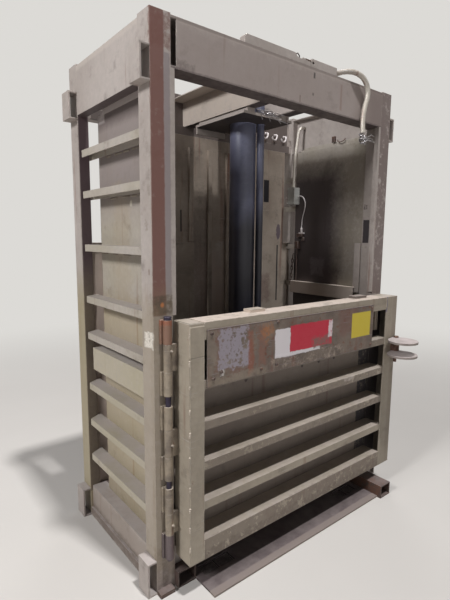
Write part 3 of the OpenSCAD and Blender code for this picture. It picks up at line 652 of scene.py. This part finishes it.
        on_sign(-0.6, 1.05, -0.42, 1.236, "#938c95", 0.95, 0.004, 0.06, 0.22),
        on_sign(-0.425, 1.001, -0.395, 1.212, "#80503f", 0.8, 0.005, 0.03, 0.2),
        on_sign(-0.365, 1.03, -0.311, 1.22, "#7b5547", 0.7, 0.006, 0.05, 0.3),
        on_sign(-0.345, 1.15, -0.262, 1.236, "#9a6640", 0.8, 0.02, 0.09, 0.3, outline=Outline.OVAL),
        on_sign(-0.593, 1.025, -0.57, 1.052, "#dcd7d4", 0.8, 0.003, 0.03, 0.4),
        on_sign(-0.661, 0.985, -0.3, 1.02, "#8b7f70", 0.6, 0.01, 0.05),
        on_sign(0.257, 1.108, 0.407, 1.24, "#6e473f", 0.7, 0.03, 0.05),
        on_sign(-0.28, 0.988, 0.3, 1.045, "#a39a8e", 0.7, 0.004, 0.04, 0.75),
        on_sign(-0.144, 1.064, 0.188, 1.199, "#b5283c", 0.97, 0.002, 0.014, 0.05),
        on_sign(-0.251, 1.054, -0.144, 1.19, "#d9d3d6", 0.95, 0.002, 0.012, 0.05),
        on_sign(-0.251, 1.046, 0.09, 1.064, "#d9d3d6", 0.9, 0.002, 0.01, 0.1),
        on_sign(0.158, 1.1, 0.19, 1.196, "#d9d3d6", 0.85, 0.002, 0.02, 0.4),
        on_sign(0.03, 1.062, 0.17, 1.112, "#6a5d56", 0.9, 0.01, 0.06),
        on_sign(0.367, 1.064, 0.548, 1.209, "#c9b53c", 0.95, 0.002, 0.004, 0.08),
        on_sign(-0.661, 1.236, 0.576, 1.245, "#4c3d3a", 0.7, 0.003, 0.006, 0.2),
    ),
    "apron_plate": (
        Mark((-1.0, -0.4, -0.1), (1.0, 0.2, 0.1), "#7d726d", 0.75, 0.02, 0.05),
        # Painted shadow of the door over the apron.
        Mark((-0.66, -0.142, -0.01), (0.66, 0.11, 0.02), "#43383c", 0.9, 0.004, 0.006),
        # Painted light: the lit strip along the apron's front edge.
        Mark((-0.66, -0.19, -0.01), (0.66, -0.142, 0.02), "#82766f", 0.7, 0.004, 0.01, 0.1),
    ),
    "left_skid": (
        Mark((-1.0, -0.4, -0.1), (-0.5, 1.0, 0.19), "#403330", 0.7, 0.01, 0.05),
        Mark((-0.8, -0.3, 0.0), (-0.6, -0.15, 0.2), "#5a4038", 0.6, 0.02, 0.05, 0.2),
    ),
    "right_skid": (
        Mark((0.6, -0.4, 0.0), (0.9, -0.2, 0.2), "#3f3230", 0.9, 0.02, 0.08, 0.1),
    ),
    "post_knuckles": (
        on_knuckle(-0.85, 1.176, -0.74, 1.31, "#7b5a4a", 0.85, 0.004, 0.01, 0.2),
        on_knuckle(-0.85, 1.262, -0.74, 1.31, "#8a543f", 0.8, 0.004, 0.02, 0.3),
        on_knuckle(-0.85, 0.17, -0.74, 0.298, "#51454c", 0.85, 0.004, 0.01, 0.2),
    ),
}


class Shape:
    """A mesh in the making: blocks, tubes and plates gathered into one piece."""

    def __init__(self, name: str) -> None:
        """Starts an empty mesh with the piece's name."""
        self.name = name
        self.mesh = bmesh.new()

    def block(self, low: Point, high: Point) -> "Shape":
        """Adds a block from its lowest to its highest corner.

        Args:
            low: The lowest corner.
            high: The highest corner.

        Returns:
            The shape itself.
        """
        made = bmesh.ops.create_cube(self.mesh, size=1.0)
        size = Vector(high) - Vector(low)
        middle = (Vector(high) + Vector(low)) / 2
        for vert in made["verts"]:
            vert.co = Vector([c * s for c, s in zip(vert.co, size)]) + middle
        return self

    def tube(self, path: Sequence[Point], radii: float | Sequence[float],
             sides: int = 10) -> "Shape":
        """Adds a closed tube along a path.

        Args:
            path: The points of its centreline.
            radii: Its radius, or one radius for each point.
            sides: How many sides its section has.

        Returns:
            The shape itself.
        """
        points = [Vector(p) for p in path]
        sizes = [radii] * len(points) if isinstance(radii, (int, float)) else list(radii)
        ahead = (points[1] - points[0]).normalized()
        side = ahead.orthogonal().normalized()
        rings = []
        for i, (point, size) in enumerate(zip(points, sizes)):
            ahead = (points[min(i + 1, len(points) - 1)] - points[max(i - 1, 0)]).normalized()
            side = (side - ahead * side.dot(ahead)).normalized()
            other = ahead.cross(side)
            angles = [2 * math.pi * k / sides for k in range(sides)]
            rings.append([self.mesh.verts.new(
                point + size * (math.cos(a) * side + math.sin(a) * other)) for a in angles])
        for one, two in zip(rings, rings[1:]):
            for k in range(sides):
                self.mesh.faces.new((one[k], one[(k + 1) % sides], two[(k + 1) % sides], two[k]))
        self.mesh.faces.new(rings[0][::-1])
        self.mesh.faces.new(rings[-1])
        return self

    def soften(self, width: float) -> None:
        """Bevels every edge that the mesh has by now, as wide as it is told."""
        bmesh.ops.bevel(self.mesh, geom=list(self.mesh.edges), offset=width, segments=2,
                        affect="EDGES")

    def end(self, material: Material) -> Thing:
        """Ends the mesh and puts it in the scene.

        Args:
            material: Its material.

        Returns:
            The new object.
        """
        bmesh.ops.recalc_face_normals(self.mesh, faces=self.mesh.faces)
        data = bpy.data.meshes.new(self.name)
        self.mesh.to_mesh(data)
        self.mesh.free()
        data.materials.append(material)
        return show(bpy.data.objects.new(self.name, data))

    def piece(self, body: str, material: Material, smooth: bool = True) -> Thing:
        """Ends the mesh and makes it a piece that rides on a body.

        Args:
            body: The body that carries it.
            material: Its material.
            smooth: True to shade it smooth where its faces meet at a low angle.

        Returns:
            The new object.
        """
        made = self.end(material)
        if smooth:
            made.data.shade_smooth()
            made.data.set_sharp_from_angle(angle=SMOOTH_ANGLE)
        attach(made, body)
        LOG.info("piece %s on %s", self.name, body)
        return made


@dataclass(frozen=True)
class Bead:
    """A run of weld, laid as overlapping drops."""

    radius: float = 0.0035
    drop: float = 0.007
    lift: float = 0.25
    taper: float = 0.5
    thin: float = 0.85
    thick: float = 1.15

    def lay(self, shape: Shape, start: Point, end: Point, chance: random.Random) -> None:
        """Adds one bead to a mesh.

        Args:
            shape: The mesh.
            start: Where the bead starts.
            end: Where it ends.
            chance: The source of its unevenness.
        """
        span = Vector(end) - Vector(start)
        steps = max(3, round(span.length / self.drop) * 2)
        path, radii = [], []
        for i in range(steps + 1):
            jitter = Vector([chance.uniform(-1, 1) for _ in range(3)]) * self.radius * self.lift
            path.append(tuple(Vector(start) + span * i / steps + jitter))
            size = self.radius * (self.taper if i in (0, steps) else 1.0)
            size *= self.thick if i % 2 else self.thin
            radii.append(size * chance.uniform(self.thin, self.thick))
        shape.tube(path, radii, sides=8)


@dataclass(frozen=True)
class BoltHead:
    """A hexagon bolt head on its washer, facing along an axis."""

    across: float = 0.019
    height: float = 0.008
    washer: float = 0.013
    washer_height: float = 0.002
    sunk: float = 0.001
    chamfer_start: float = 0.85
    chamfer: float = 0.86

    def fit(self, shape: Shape, place: Point, facing: Point) -> None:
        """Adds one bolt head to a mesh.

        Args:
            shape: The mesh.
            place: The middle of the face that it sits on.
            facing: The direction that it faces.
        """
        out = Vector(facing)
        foot, base = Vector(place) - out * self.sunk, Vector(place) + out * self.washer_height
        shape.tube([tuple(foot), tuple(base)], self.washer, sides=20)
        crown, top = self.across / 2, out * self.height
        shape.tube([tuple(base), tuple(base + top * self.chamfer_start), tuple(base + top)],
                   [crown, crown, crown * self.chamfer], sides=6)


@dataclass(frozen=True)
class DoorTrim:
    """The overlay plate, welds, bolts, window bars and small fittings of the door."""

    face: float = -0.125
    sign_face: float = -0.13
    left: float = -0.75
    stile_right: float = -0.674
    right_stile: float = 0.724
    top: float = 1.276
    foot: float = 0.167
    ribs: tuple[float, ...] = (1.019, 0.832, 0.645, 0.455)
    rib_drop: float = 0.045
    stitches: tuple[float, ...] = (1.235, 1.12, 1.009, 0.905, 0.805, 0.692, 0.552, 0.453, 0.362,
                                   0.262)
    window_bars: tuple[tuple[float, float], ...] = (
        (0.612, 0.01), (0.634, 0.006), (0.655, 0.012), (0.69, 0.007), (0.708, 0.006))
    window_foot: float = 1.064
    window_top: float = 1.199
    bar_front: float = -0.074
    bar_back: float = -0.0112
    overlay_thick: float = 0.0035
    overlay_step: float = 1.128
    gap: float = 0.0001
    nipples: tuple[float, ...] = (1.15, 0.725, 0.345)
    sign_bolts: tuple[tuple[float, float], ...] = (
        (-0.627, 1.021), (-0.584, 1.044), (-0.637, 1.223), (-0.341, 1.014), (-0.238, 1.018),
        (-0.234, 1.229), (0.56, 1.005), (0.56, 1.225))

    def build(self) -> None:
        """Makes every piece of the door's trim."""
        chance = random.Random(11)
        paint = DOOR_PAINT.material("door_trim_enamel")
        bright = WORN_EDGE.material("rubbed_bare_steel")
        self.overlay(DOOR_PAINT.material("overlay_enamel", (
            # Painted light on the overlay's left face, which the hinge shades.
            Mark((-0.76, -0.14, 0.1), (-0.7478, -0.12, 1.28), "#cbbda9", 0.85, 0.0008, 0.004, 0.2),
            Mark((-0.76, -0.14, 1.2585), (-0.67, -0.12, 1.27), "#c8baa8", 0.8, 0.001, 0.003, 0.1),
        )))
        self.caps(paint)
        self.welds(chance, bright)
        bolts = Shape("sign_bolts")
        for x, z in self.sign_bolts:
            BoltHead(across=0.014, height=0.005, washer=0.009).fit(bolts, (x, self.sign_face, z),
                                                                  (0.0, -1.0, 0.0))
        bolts.piece("door", RUSTY_STEEL.material("rusty_bolts"), smooth=False)
        bars = Shape("window_bars")
        for x, wide in self.window_bars:
            bars.block((x, self.bar_front, self.window_foot),
                       (x + wide, self.bar_back, self.window_top))
        bars.piece("door", bright, smooth=False)
        nipples = Shape("grease_nipples")
        for z in self.nipples:
            nipples.tube([(-0.789, -0.042, z), (-0.788, -0.048, z), (-0.7875, -0.05, z),
                          (-0.787, -0.055, z)], [0.0065, 0.0065, 0.0035, 0.0032], sides=10)
        nipples.piece("door", KNUCKLE_PAINT.material("greasy_nipples"))
        hook = Shape("edge_hook")
        hook.tube([(0.84, -0.06, 1.19), (0.856, -0.06, 1.191), (0.866, -0.06, 1.194),
                   (0.872, -0.06, 1.202), (0.873, -0.06, 1.21)], 0.0035, sides=8)
        hook.piece("door", RUSTY_STEEL.material("rusty_hook"))

    def overlay(self, paint: Material) -> None:
        """Lays the stiffening plate on the left stile, wider at its head than below.

        Args:
            paint: Its material.
        """
        shape = Shape("stile_overlay")
        front, back = self.face - self.overlay_thick, self.face - self.gap
        shape.block((self.left - 0.0025, front, self.overlay_step),
                    (self.stile_right, back, self.top - 0.013))
        shape.block((self.left + 0.0015, front, self.foot + 0.006),
                    (self.stile_right, back, self.overlay_step - 0.0005))
        shape.soften(0.0009)
        shape.piece("door", paint)

    def caps(self, paint: Material) -> None:
        """Closes the open tops of the two stiles with plates.

        Args:
            paint: Their material.
        """
        shape = Shape("stile_caps")
        for low, high in ((self.left + 0.0065, self.stile_right - 0.0065),
                          (self.right_stile + 0.0065, 0.8355)):
            shape.block((low, -0.1185, self.top - 0.006), (high, -0.0115, self.top - 0.0005))
        shape.soften(0.001)
        shape.piece("door", paint)

    def welds(self, chance: random.Random, bright: Material) -> None:
        """Lays the welds: stitches down the overlay, and a bead at each joint of a rib.

        Args:
            chance: The source of their unevenness.
            bright: The stitches' material.
        """
        stitches = Shape("overlay_stitches")
        for z in self.stitches:
            long = chance.uniform(0.012, 0.03)
            Bead(radius=0.0042).lay(stitches, (self.left, self.face - 0.001, z),
                                    (self.left, self.face - 0.001, z - long), chance)
        stitches.piece("door", bright)
        joints = Shape("rib_joint_welds")
        for top in self.ribs:
            for x in (self.stile_right + 0.0005, self.right_stile - 0.0005):
                Bead().lay(joints, (x, self.face + 0.001, top - 0.003),
                           (x, self.face + 0.001, top - self.rib_drop), chance)
                Bead().lay(joints, (x, self.face + 0.006, top + 0.001), (x, -0.02, top + 0.001),
                           chance)
        for x in (self.stile_right + 0.0005, self.right_stile - 0.0005):
            Bead().lay(joints, (x, self.face, 0.262), (x, self.face, 0.172), chance)
            Bead().lay(joints, (x, self.face, self.top - 0.004), (x, self.face, 1.204), chance)
        joints.piece("door", DOOR_PAINT.material("painted_weld"))


@dataclass(frozen=True)
class HeadTrim:
    """The hooks, wires, clamp and shackle about the head."""

    hook_wall: float = 0.8035
    hook_radius: float = 0.0062
    root_radius: float = 0.01
    ties_per_hook: int = 3
    tie_radius: float = 0.0018
    strands: int = 16
    strand_radius: float = 0.0021
    hooks: tuple[float, ...] = (0.549, 0.64, 0.734)

    def build(self) -> None:
        """Makes every piece of the head's trim."""
        chance = random.Random(23)
        hooks = Shape("tie_hooks")
        for x in self.hooks:
            hooks.tube([(x, self.hook_wall, 2.378), (x, 0.785, 2.379), (x, 0.779, 2.374),
                        (x - 0.004, 0.777, 2.356), (x - 0.015, 0.776, 2.341),
                        (x - 0.031, 0.775, 2.335), (x - 0.047, 0.775, 2.342),
                        (x - 0.054, 0.776, 2.358)], self.hook_radius, sides=10)
            hooks.tube([(x, self.hook_wall, 2.378), (x, 0.799, 2.378)], self.root_radius, sides=16)
        hooks.piece("frame", HOOK_ENAMEL.material("white_dipped_steel"))
        ties = Shape("tie_wires")
        for x in self.hooks:
            for k in range(self.ties_per_hook):
                at = x - 0.022 + 0.008 * k
                foot = chance.uniform(2.318, 2.33)
                ties.tube([(at, 0.778, 2.352), (at + 0.001, 0.786, 2.35),
                           (at + chance.uniform(-0.01, 0.01), 0.797, 2.336),
                           (at + chance.uniform(-0.02, 0.02), 0.799, foot)], self.tie_radius,
                          sides=6)
        ties.piece("frame", RUSTY_STEEL.material("black_tie_wire"))
        self.tangle(chance)
        self.clamp(chance)
        ring = Shape("wall_shackle")
        loop = [(0.7535 - 0.01 * math.sin(a), 0.29 - 0.03 * math.cos(a), 2.288 - 0.02 * math.sin(a))
                for a in (math.pi * k / 12 for k in range(13))]
        ring.tube(loop, 0.0035, sides=8)
        ring.block((0.744, 0.338, 2.275), (0.7575, 0.364, 2.312))
        ring.piece("frame", RUSTY_STEEL.material("rusty_shackle"))

    def tangle(self, chance: random.Random) -> None:
        """Heaps bright bent wire on the crosshead plate's front edge.

        Args:
            chance: The source of its bends.
        """
        heap = Shape("wire_tangle")
        for k in range(self.strands):
            x = chance.uniform(-0.085, 0.03)
            y = chance.uniform(0.196, 0.27)
            points = []
            for i in range(6):
                points.append((x + 0.022 * i + chance.uniform(-0.012, 0.012),
                               y + chance.uniform(-0.016, 0.016),
                               2.2945 + 0.0012 * k + chance.uniform(0.0, 0.004)))
            heap.tube(points, self.strand_radius, sides=6)
        for x in (-0.07, -0.01, 0.06, 0.13):
            heap.tube([(x, 0.2, 2.296), (x + 0.004, 0.1985, 2.29), (x + 0.01, 0.199, 2.272),
                       (x + chance.uniform(0.0, 0.03), 0.2, 2.262)], self.strand_radius, sides=6)
        heap.tube([(-0.088, 0.1975, 2.294), (-0.02, 0.196, 2.282), (0.06, 0.1965, 2.276),
                   (0.14, 0.1975, 2.27), (0.143, 0.198, 2.25)], 0.0026, sides=8)
        heap.piece("frame", BRIGHT_WIRE.material("bright_drawn_wire"))

    def clamp(self, chance: random.Random) -> None:
        """Leaves the bits of a broken clamp in the notch of the header's strip.

        Args:
            chance: The source of its weld's unevenness.
        """
        bits = Shape("broken_clamp")
        bits.block((-0.012, 0.004, 2.5285), (0.026, 0.033, 2.5315))
        bits.tube([(-0.02, 0.014, 2.53), (-0.012, 0.013, 2.547), (0.004, 0.012, 2.5545),
                   (0.018, 0.013, 2.546), (0.022, 0.014, 2.53)], 0.003, sides=8)
        BoltHead(across=0.016, height=0.01, washer=0.01).fit(bits, (0.07, 0.018, 2.533),
                                                              (0.0, 0.0, 1.0))
        Bead(radius=0.003).lay(bits, (0.06, 0.001, 2.536), (0.095, 0.001, 2.534), chance)
        bits.piece("frame", RUSTY_STEEL.material("broken_clamp_steel"))


@dataclass(frozen=True)
class WallTrim:
    """The fittings on the chamber's right wall, and the welds under the side ribs."""

    panel: float = -0.769
    weld_front: float = 0.13
    weld_back: float = 0.62
    rib_feet: tuple[float, ...] = (2.035, 1.824, 1.545, 1.265, 1.062, 0.772, 0.559, 0.349)

    def build(self) -> None:
        """Makes every piece of the wall's trim."""
        chance = random.Random(37)
        guide = Shape("gate_wear_plate")
        guide.block((0.7425, 0.099, 1.278), (0.7515, 0.145, 1.605))
        guide.soften(0.0015)
        guide.block((0.7515, 0.11, 1.3), (0.762, 0.14, 1.59))
        guide.piece("frame", FRAME_PAINT.material("wear_plate_enamel"))
        self.electrics()
        self.chain()
        seams = Shape("side_rib_welds")
        for z in self.rib_feet:
            y = self.weld_front
            while y < self.weld_back:
                long = chance.uniform(0.035, 0.085)
                Bead(radius=0.004).lay(seams, (self.panel, y, z), (self.panel, y + long, z),
                                       chance)
                y += long + chance.uniform(0.02, 0.07)
        seams.piece("frame", KNUCKLE_PAINT.material("dirty_weld"))

    def electrics(self) -> None:
        """Makes the box's lid and knob, and the switch parts below it."""
        grey = BOX_METAL.material("lid_powder_coat")
        lid = Shape("box_lid")
        lid.block((0.7035, 0.652, 1.878), (0.7058, 0.728, 2.002))
        lid.soften(0.0008)
        for y in (0.662, 0.718):
            for z in (1.888, 1.992):
                lid.tube([(0.7035, y, z), (0.7012, y, z), (0.7005, y, z)], [0.004, 0.004, 0.003],
                         sides=12)
        lid.piece("frame", grey)
        knob = Shape("box_knob")
        knob.tube([(0.734, 0.7255, 1.925), (0.734, 0.738, 1.925), (0.734, 0.74, 1.925),
                   (0.734, 0.752, 1.925), (0.734, 0.755, 1.925)],
                  [0.009, 0.009, 0.014, 0.014, 0.011], sides=20)
        knob.piece("frame", HOOK_ENAMEL.material("white_knob"))
        parts = Shape("switch_parts")
        parts.block((0.738, 0.6, 1.64), (0.7619, 0.655, 1.668))
        parts.block((0.728, 0.628, 1.555), (0.7619, 0.662, 1.612))
        parts.block((0.742, 0.59, 1.612), (0.7619, 0.606, 1.64))
        parts.soften(0.002)
        parts.tube([(0.76, 0.653, 1.558), (0.748, 0.653, 1.546), (0.747, 0.653, 1.32),
                    (0.76, 0.653, 1.312)], 0.0045, sides=10)
        parts.piece("frame", RUSTY_STEEL.material("switch_steel"))

    def chain(self) -> None:
        """Hangs a short chain of brown links below the switch parts."""
        links = Shape("brown_chain")
        wire, half, reach = 0.0038, 0.009, 0.018
        count, top, drop, lean = 9, Vector((0.748, 0.69, 1.492)), 0.0275, 0.0022
        for k in range(count):
            middle = top + k * Vector((0.0, lean, -drop))
            turn = Vector((0.0, 1.0, 0.0)) if k % 2 else Vector((0.8, 0.6, 0.0))
            loop = []
            for i in range(17):
                a = 2 * math.pi * i / 16
                spot = turn * half * math.cos(a) + Vector((0, 0, 1)) * reach * math.sin(a)
                loop.append(tuple(middle + spot))
            links.tube(loop, wire, sides=8)
        links.tube([(0.76, 0.688, 1.516), (0.748, 0.688, 1.516), (0.747, 0.69, 1.506)], 0.004,
                   sides=8)
        links.piece("frame", RUSTY_STEEL.material("chain_steel"))


@dataclass(frozen=True)
class BoxLead:
    """The white lead from the junction box to its plug on the wall."""

    diameter: float = 0.007
    route: tuple[Point, ...] = (
        (0.75, 0.654, 1.938), (0.75, 0.642, 1.94), (0.75, 0.629, 1.939),
        (0.75, 0.6165, 1.934), (0.75, 0.605, 1.925), (0.75, 0.5955, 1.912),
        (0.75, 0.589, 1.897), (0.7505, 0.586, 1.881), (0.751, 0.587, 1.864),
        (0.7515, 0.5905, 1.847), (0.752, 0.5955, 1.83), (0.7525, 0.601, 1.813),
        (0.753, 0.6065, 1.796), (0.7535, 0.611, 1.779), (0.754, 0.6145, 1.762),
        (0.754, 0.6165, 1.744), (0.754, 0.6175, 1.726), (0.754, 0.618, 1.708))

    def build(self) -> None:
        plug = Shape("lead_plug")
        end = Vector(self.route[-1])
        plug.tube([tuple(end + Vector((0, 0, z))) for z in (0.006, 0.0, -0.002, -0.03, -0.034)],
                  [0.0045, 0.0055, 0.0072, 0.0078, 0.0065], sides=16)
        plug.block((0.7475, 0.593, 1.664), (0.7615, 0.64, 1.676))
        body = plug.piece("frame", HOOK_ENAMEL.material("white_plug"))
        lead = Shape("white_lead")
        lead.tube(self.route, self.diameter / 2, sides=12)
        made = lead.piece("frame", HOOK_ENAMEL.material("white_lead_sheath"))


@dataclass(frozen=True)
class BaseTrim:
    """Near-black filler in the apron's slots: painted shade where the floor shows through them."""

    slots: tuple[tuple[float, float], ...] = ((-0.513, -0.427), (-0.608, -0.522), (0.427, 0.513),
                                              (0.522, 0.608))
    middle: float = -0.017
    half_length: float = 0.0325
    foot: float = 0.0002
    depth: float = 0.0012
    uneven: float = 0.003

    def build(self) -> None:
        """Fills each slot's foot with uneven near-black filler, as painted shade."""
        chance = random.Random(41)
        # Painted shade: uneven near-black filler shapes in the slots.
        dirt = Shape("slot_shade_filler")
        for low, high in self.slots:
            grid = bmesh.ops.create_grid(dirt.mesh, x_segments=14, y_segments=12, size=1.0)
            faces = {face for vert in grid["verts"] for face in vert.link_faces}
            lifted = bmesh.ops.extrude_face_region(dirt.mesh, geom=list(faces))["geom"]
            tops = {item for item in lifted if isinstance(item, bmesh.types.BMVert)}
            for vert in (*grid["verts"], *tops):
                rim = max(abs(vert.co.x), abs(vert.co.y)) > 0.95
                height = self.depth + (0.0 if rim else self.uneven * chance.random())
                vert.co = Vector(((low + high) / 2 + vert.co.x * (high - low) / 2,
                                  self.middle + vert.co.y * self.half_length,
                                  self.foot + (height if vert in tops else 0.0)))
        dirt.piece("frame", BASE_STEEL.material("painted_slot_shade", (
            Mark((-1.0, -0.2, -0.1), (1.0, 0.2, 0.1), "#1e191b", 1.0, 0.001, 0.0),)))


@dataclass(frozen=True)
class Viewpoint:
    """Where the photograph was taken from, and its lens for a 36 mm long side."""

    place: Point = (-1.7698, -1.627, 1.6319)
    heading: float = -0.6771
    pitch: float = -0.1388
    roll: float = -0.0081
    lens: float = 26.715

    def build(self) -> Thing:
        """Makes the camera and looks through it.

        Returns:
            The camera.
        """
        data = bpy.data.cameras.new("view")
        data.lens, data.sensor_width = self.lens, 36.0
        made = show(bpy.data.objects.new("view", data))
        turn = (Matrix.Rotation(self.heading, 4, "Z") @ Matrix.Rotation(self.pitch, 4, "X")
                @ Matrix.Rotation(self.roll, 4, "Y") @ Matrix.Rotation(math.pi / 2, 4, "X"))
        made.matrix_world = Matrix.Translation(self.place) @ turn
        bpy.context.scene.camera = made
        return made


@dataclass(frozen=True)
class HeaderConduit:
    """The loose conduit that arches over the front header and ends in bare wires."""

    diameter: float = 0.029
    route: tuple[Point, ...] = (
        (0.309, 0.022, 2.531), (0.325, 0.0215, 2.5325), (0.341, 0.02, 2.537), (0.37, 0.014, 2.547),
        (0.402, 0.005, 2.555), (0.434, -0.007, 2.557), (0.465, -0.017, 2.553),
        (0.495, -0.024, 2.543), (0.52, -0.027, 2.529), (0.541, -0.028, 2.51),
        (0.554, -0.028, 2.488), (0.56, -0.027, 2.464), (0.558, -0.026, 2.438),
        (0.55, -0.025, 2.412), (0.541, -0.024, 2.386), (0.533, -0.024, 2.358),
        (0.527, -0.025, 2.328), (0.523, -0.027, 2.298), (0.521, -0.03, 2.266),
        (0.521, -0.032, 2.236),
    )

    def build(self) -> None:
        line = bpy.data.curves.new("loose_conduit", "CURVE")
        line.dimensions = "3D"
        line.bevel_depth = self.diameter / 2
        line.bevel_resolution = 5
        line.use_fill_caps = True
        spline = line.splines.new("POLY")
        spline.points.add(len(self.route) - 1)
        for point, place in zip(spline.points, self.route):
            point.co = (*place, 1.0)
        spline.use_smooth = True
        made = show(bpy.data.objects.new("loose_conduit", line))
        made.data.materials.append(CONDUIT_ZINC.material("loose_conduit_zinc"))
        ends = self.torn_end()
        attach(made, "frame")
        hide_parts("header_conduit")

    def torn_end(self) -> Thing:
        """Makes the torn sheath and the bare wires that stick out of the conduit's end.

        Returns:
            The new piece.
        """
        chance = random.Random(5)
        end = Vector(self.route[-1])
        shape = Shape("conduit_torn_end")
        for k in range(7):
            centre = end + Vector((chance.uniform(-0.01, 0.014), chance.uniform(-0.006, 0.006),
                                   -0.014 - 0.007 * k))
            wide, tilt = chance.uniform(0.014, 0.026), chance.uniform(-0.6, 0.6)
            loop = []
            for i in range(13):
                a = 2 * math.pi * i / 12.5
                loop.append(tuple(centre + Vector((
                    wide * math.cos(a), 0.7 * wide * math.sin(a), wide * tilt * math.sin(a + k)))))
            shape.tube(loop, 0.0034, sides=6)
        for k in range(5):
            lift = chance.uniform(-0.02, 0.026)
            reach = chance.uniform(0.06, 0.115)
            shape.tube([tuple(end), tuple(end + Vector((0.012, -0.004, -0.02))),
                        tuple(end + Vector((0.4 * reach, -0.008, -0.03 + 0.5 * lift))),
                        tuple(end + Vector((0.75 * reach, -0.004, -0.024 + lift))),
                        tuple(end + Vector((reach, -0.006, -0.03 + lift)))], 0.0019, sides=6)
        return shape.piece("frame", BRIGHT_WIRE.material("torn_sheath_steel"))


@dataclass(frozen=True)
class Studio:
    """Pale floor that fades into pale surroundings, and soft lamps."""

    pale: str = "#dcdad6"
    paper: str = "#c9c5c1"
    paper_drift: str = "#bfbbb7"
    dim: str = "#d6d2da"
    dim_strength: float = 0.04
    fade_from: float = 2.2
    fade_to: float = 7.0
    floor_half: float = 30.0
    floor_foot: float = -0.05
    floor_top: float = -0.0005

    def build(self) -> None:
        """Makes the floor, the world and the lamps."""
        self.floor()
        self.world()
        self.lamp("key_left", (-6.9, -0.4, 5.8), (0.0, 0.3, 1.2), 1.6, 470.0)
        self.lamp("key_top", (0.1, -4.6, 16.2), (0.1, 0.6, 2.1), 0.8, 2200.0)
        self.lamp("fill_rear", (6.2, 6.8, 5.2), (0.0, 0.4, 1.2), 4.5, 230.0)
        self.lamp("fill_front", (-1.5, -7.0, 3.2), (0.0, 0.0, 1.2), 4.0, 30.0)

    def floor(self) -> None:
        """Lays a plain pale floor."""
        paper = bpy.data.materials.new("pale_floor")
        paper.use_nodes = True
        tree = paper.node_tree
        tree.nodes.clear()
        place = add_node(tree, "TexCoord", out="Object")
        cloud = add_node(tree, "TexNoise", {"Vector": place, "Scale": 0.8, "Detail": 4.0})
        tone = add_node(tree, "Mix", {0: cloud, 6: linear(self.paper), 7: linear(self.paper_drift)},
                        out=2, data_type="RGBA")
        matt = add_node(tree, "BsdfDiffuse", {"Color": tone})
        backdrop = add_node(tree, "Emission", {"Color": linear(self.pale)})
        away = add_node(tree, "VectorMath", {0: place}, out="Value", operation="LENGTH")
        fade = add_node(tree, "MapRange", {0: away, 1: self.fade_from, 2: self.fade_to},
                        interpolation_type="SMOOTHSTEP")
        rays = add_node(tree, "LightPath", out="Is Camera Ray")
        seen = add_node(tree, "Math", {0: fade, 1: rays}, operation="MULTIPLY")
        both = add_node(tree, "MixShader", {0: seen, 1: matt, 2: backdrop})
        tree.links.new(both, tree.nodes.new("ShaderNodeOutputMaterial").inputs[0])
        half = self.floor_half
        slab = Shape("floor").block((-half, -half, self.floor_foot), (half, half, self.floor_top))
        made = slab.end(paper)

    def world(self) -> None:
        """Makes pale surroundings that light the object little."""
        world = bpy.data.worlds.new("surroundings")
        bpy.context.scene.world = world
        world.use_nodes = True
        tree = world.node_tree
        tree.nodes.clear()
        rays = add_node(tree, "LightPath", out="Is Camera Ray")
        seen = add_node(tree, "Math", {0: rays, 1: rays.node.outputs["Is Glossy Ray"]},
                        operation="MAXIMUM")
        seen = add_node(tree, "Math", {0: seen, 1: rays.node.outputs["Is Transmission Ray"]},
                        operation="MAXIMUM")
        pale = add_node(tree, "Background", {"Color": linear(self.pale), "Strength": 1.0})
        dim = add_node(tree, "Background", {"Color": linear(self.dim),
                                           "Strength": self.dim_strength})
        both = add_node(tree, "MixShader", {0: seen, 1: dim, 2: pale})
        tree.links.new(both, tree.nodes.new("ShaderNodeOutputWorld").inputs[0])

    def lamp(self, name: str, place: Point, target: Point, size: float, power: float) -> None:
        """Hangs a square soft lamp.

        Args:
            name: The lamp's name.
            place: Where it hangs.
            target: The point that it faces.
            size: Its width.
            power: Its power in watts.
        """
        data = bpy.data.lights.new(name, "AREA")
        data.size, data.energy = size, power
        made = show(bpy.data.objects.new(name, data))
        made.location = place
        made.rotation_mode = "QUATERNION"
        made.rotation_quaternion = (Vector(target) - Vector(place)).to_track_quat("-Z", "Y")


class Dressing:
    """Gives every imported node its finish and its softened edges."""

    def build(self) -> None:
        """Dresses the nodes by their material slots."""
        plain: dict[str, Material] = {}
        slots = {part["node"]: part["material_slot"] for part in frame["record"]["subparts"]}
        for name, node in frame["nodes"].items():
            finish = OWN_FINISHES.get(name, FINISHES[slots[name]])
            if name in MARKS:
                made = finish.material(f"{name}_{finish.name}", MARKS[name])
            else:
                if finish.name not in plain:
                    plain[finish.name] = finish.material(finish.name)
                made = plain[finish.name]
            node.data.materials.clear()
            node.data.materials.append(made)
            LOG.info("node %s wears %s", name, made.name)


def main() -> None:
    """Builds the camera, the cord, the dressed nodes, the added pieces and the studio."""
    logging.basicConfig(level=logging.INFO, format="%(name)s: %(message)s")
    bpy.context.scene.view_settings.view_transform = "Standard"
    Viewpoint().build()
    HeaderConduit().build()
    BoxLead().build()
    for trim in (Dressing(), DoorTrim(), HeadTrim(), WallTrim(), BaseTrim(), Studio()):
        trim.build()


if __name__ == "__main__":
    main()
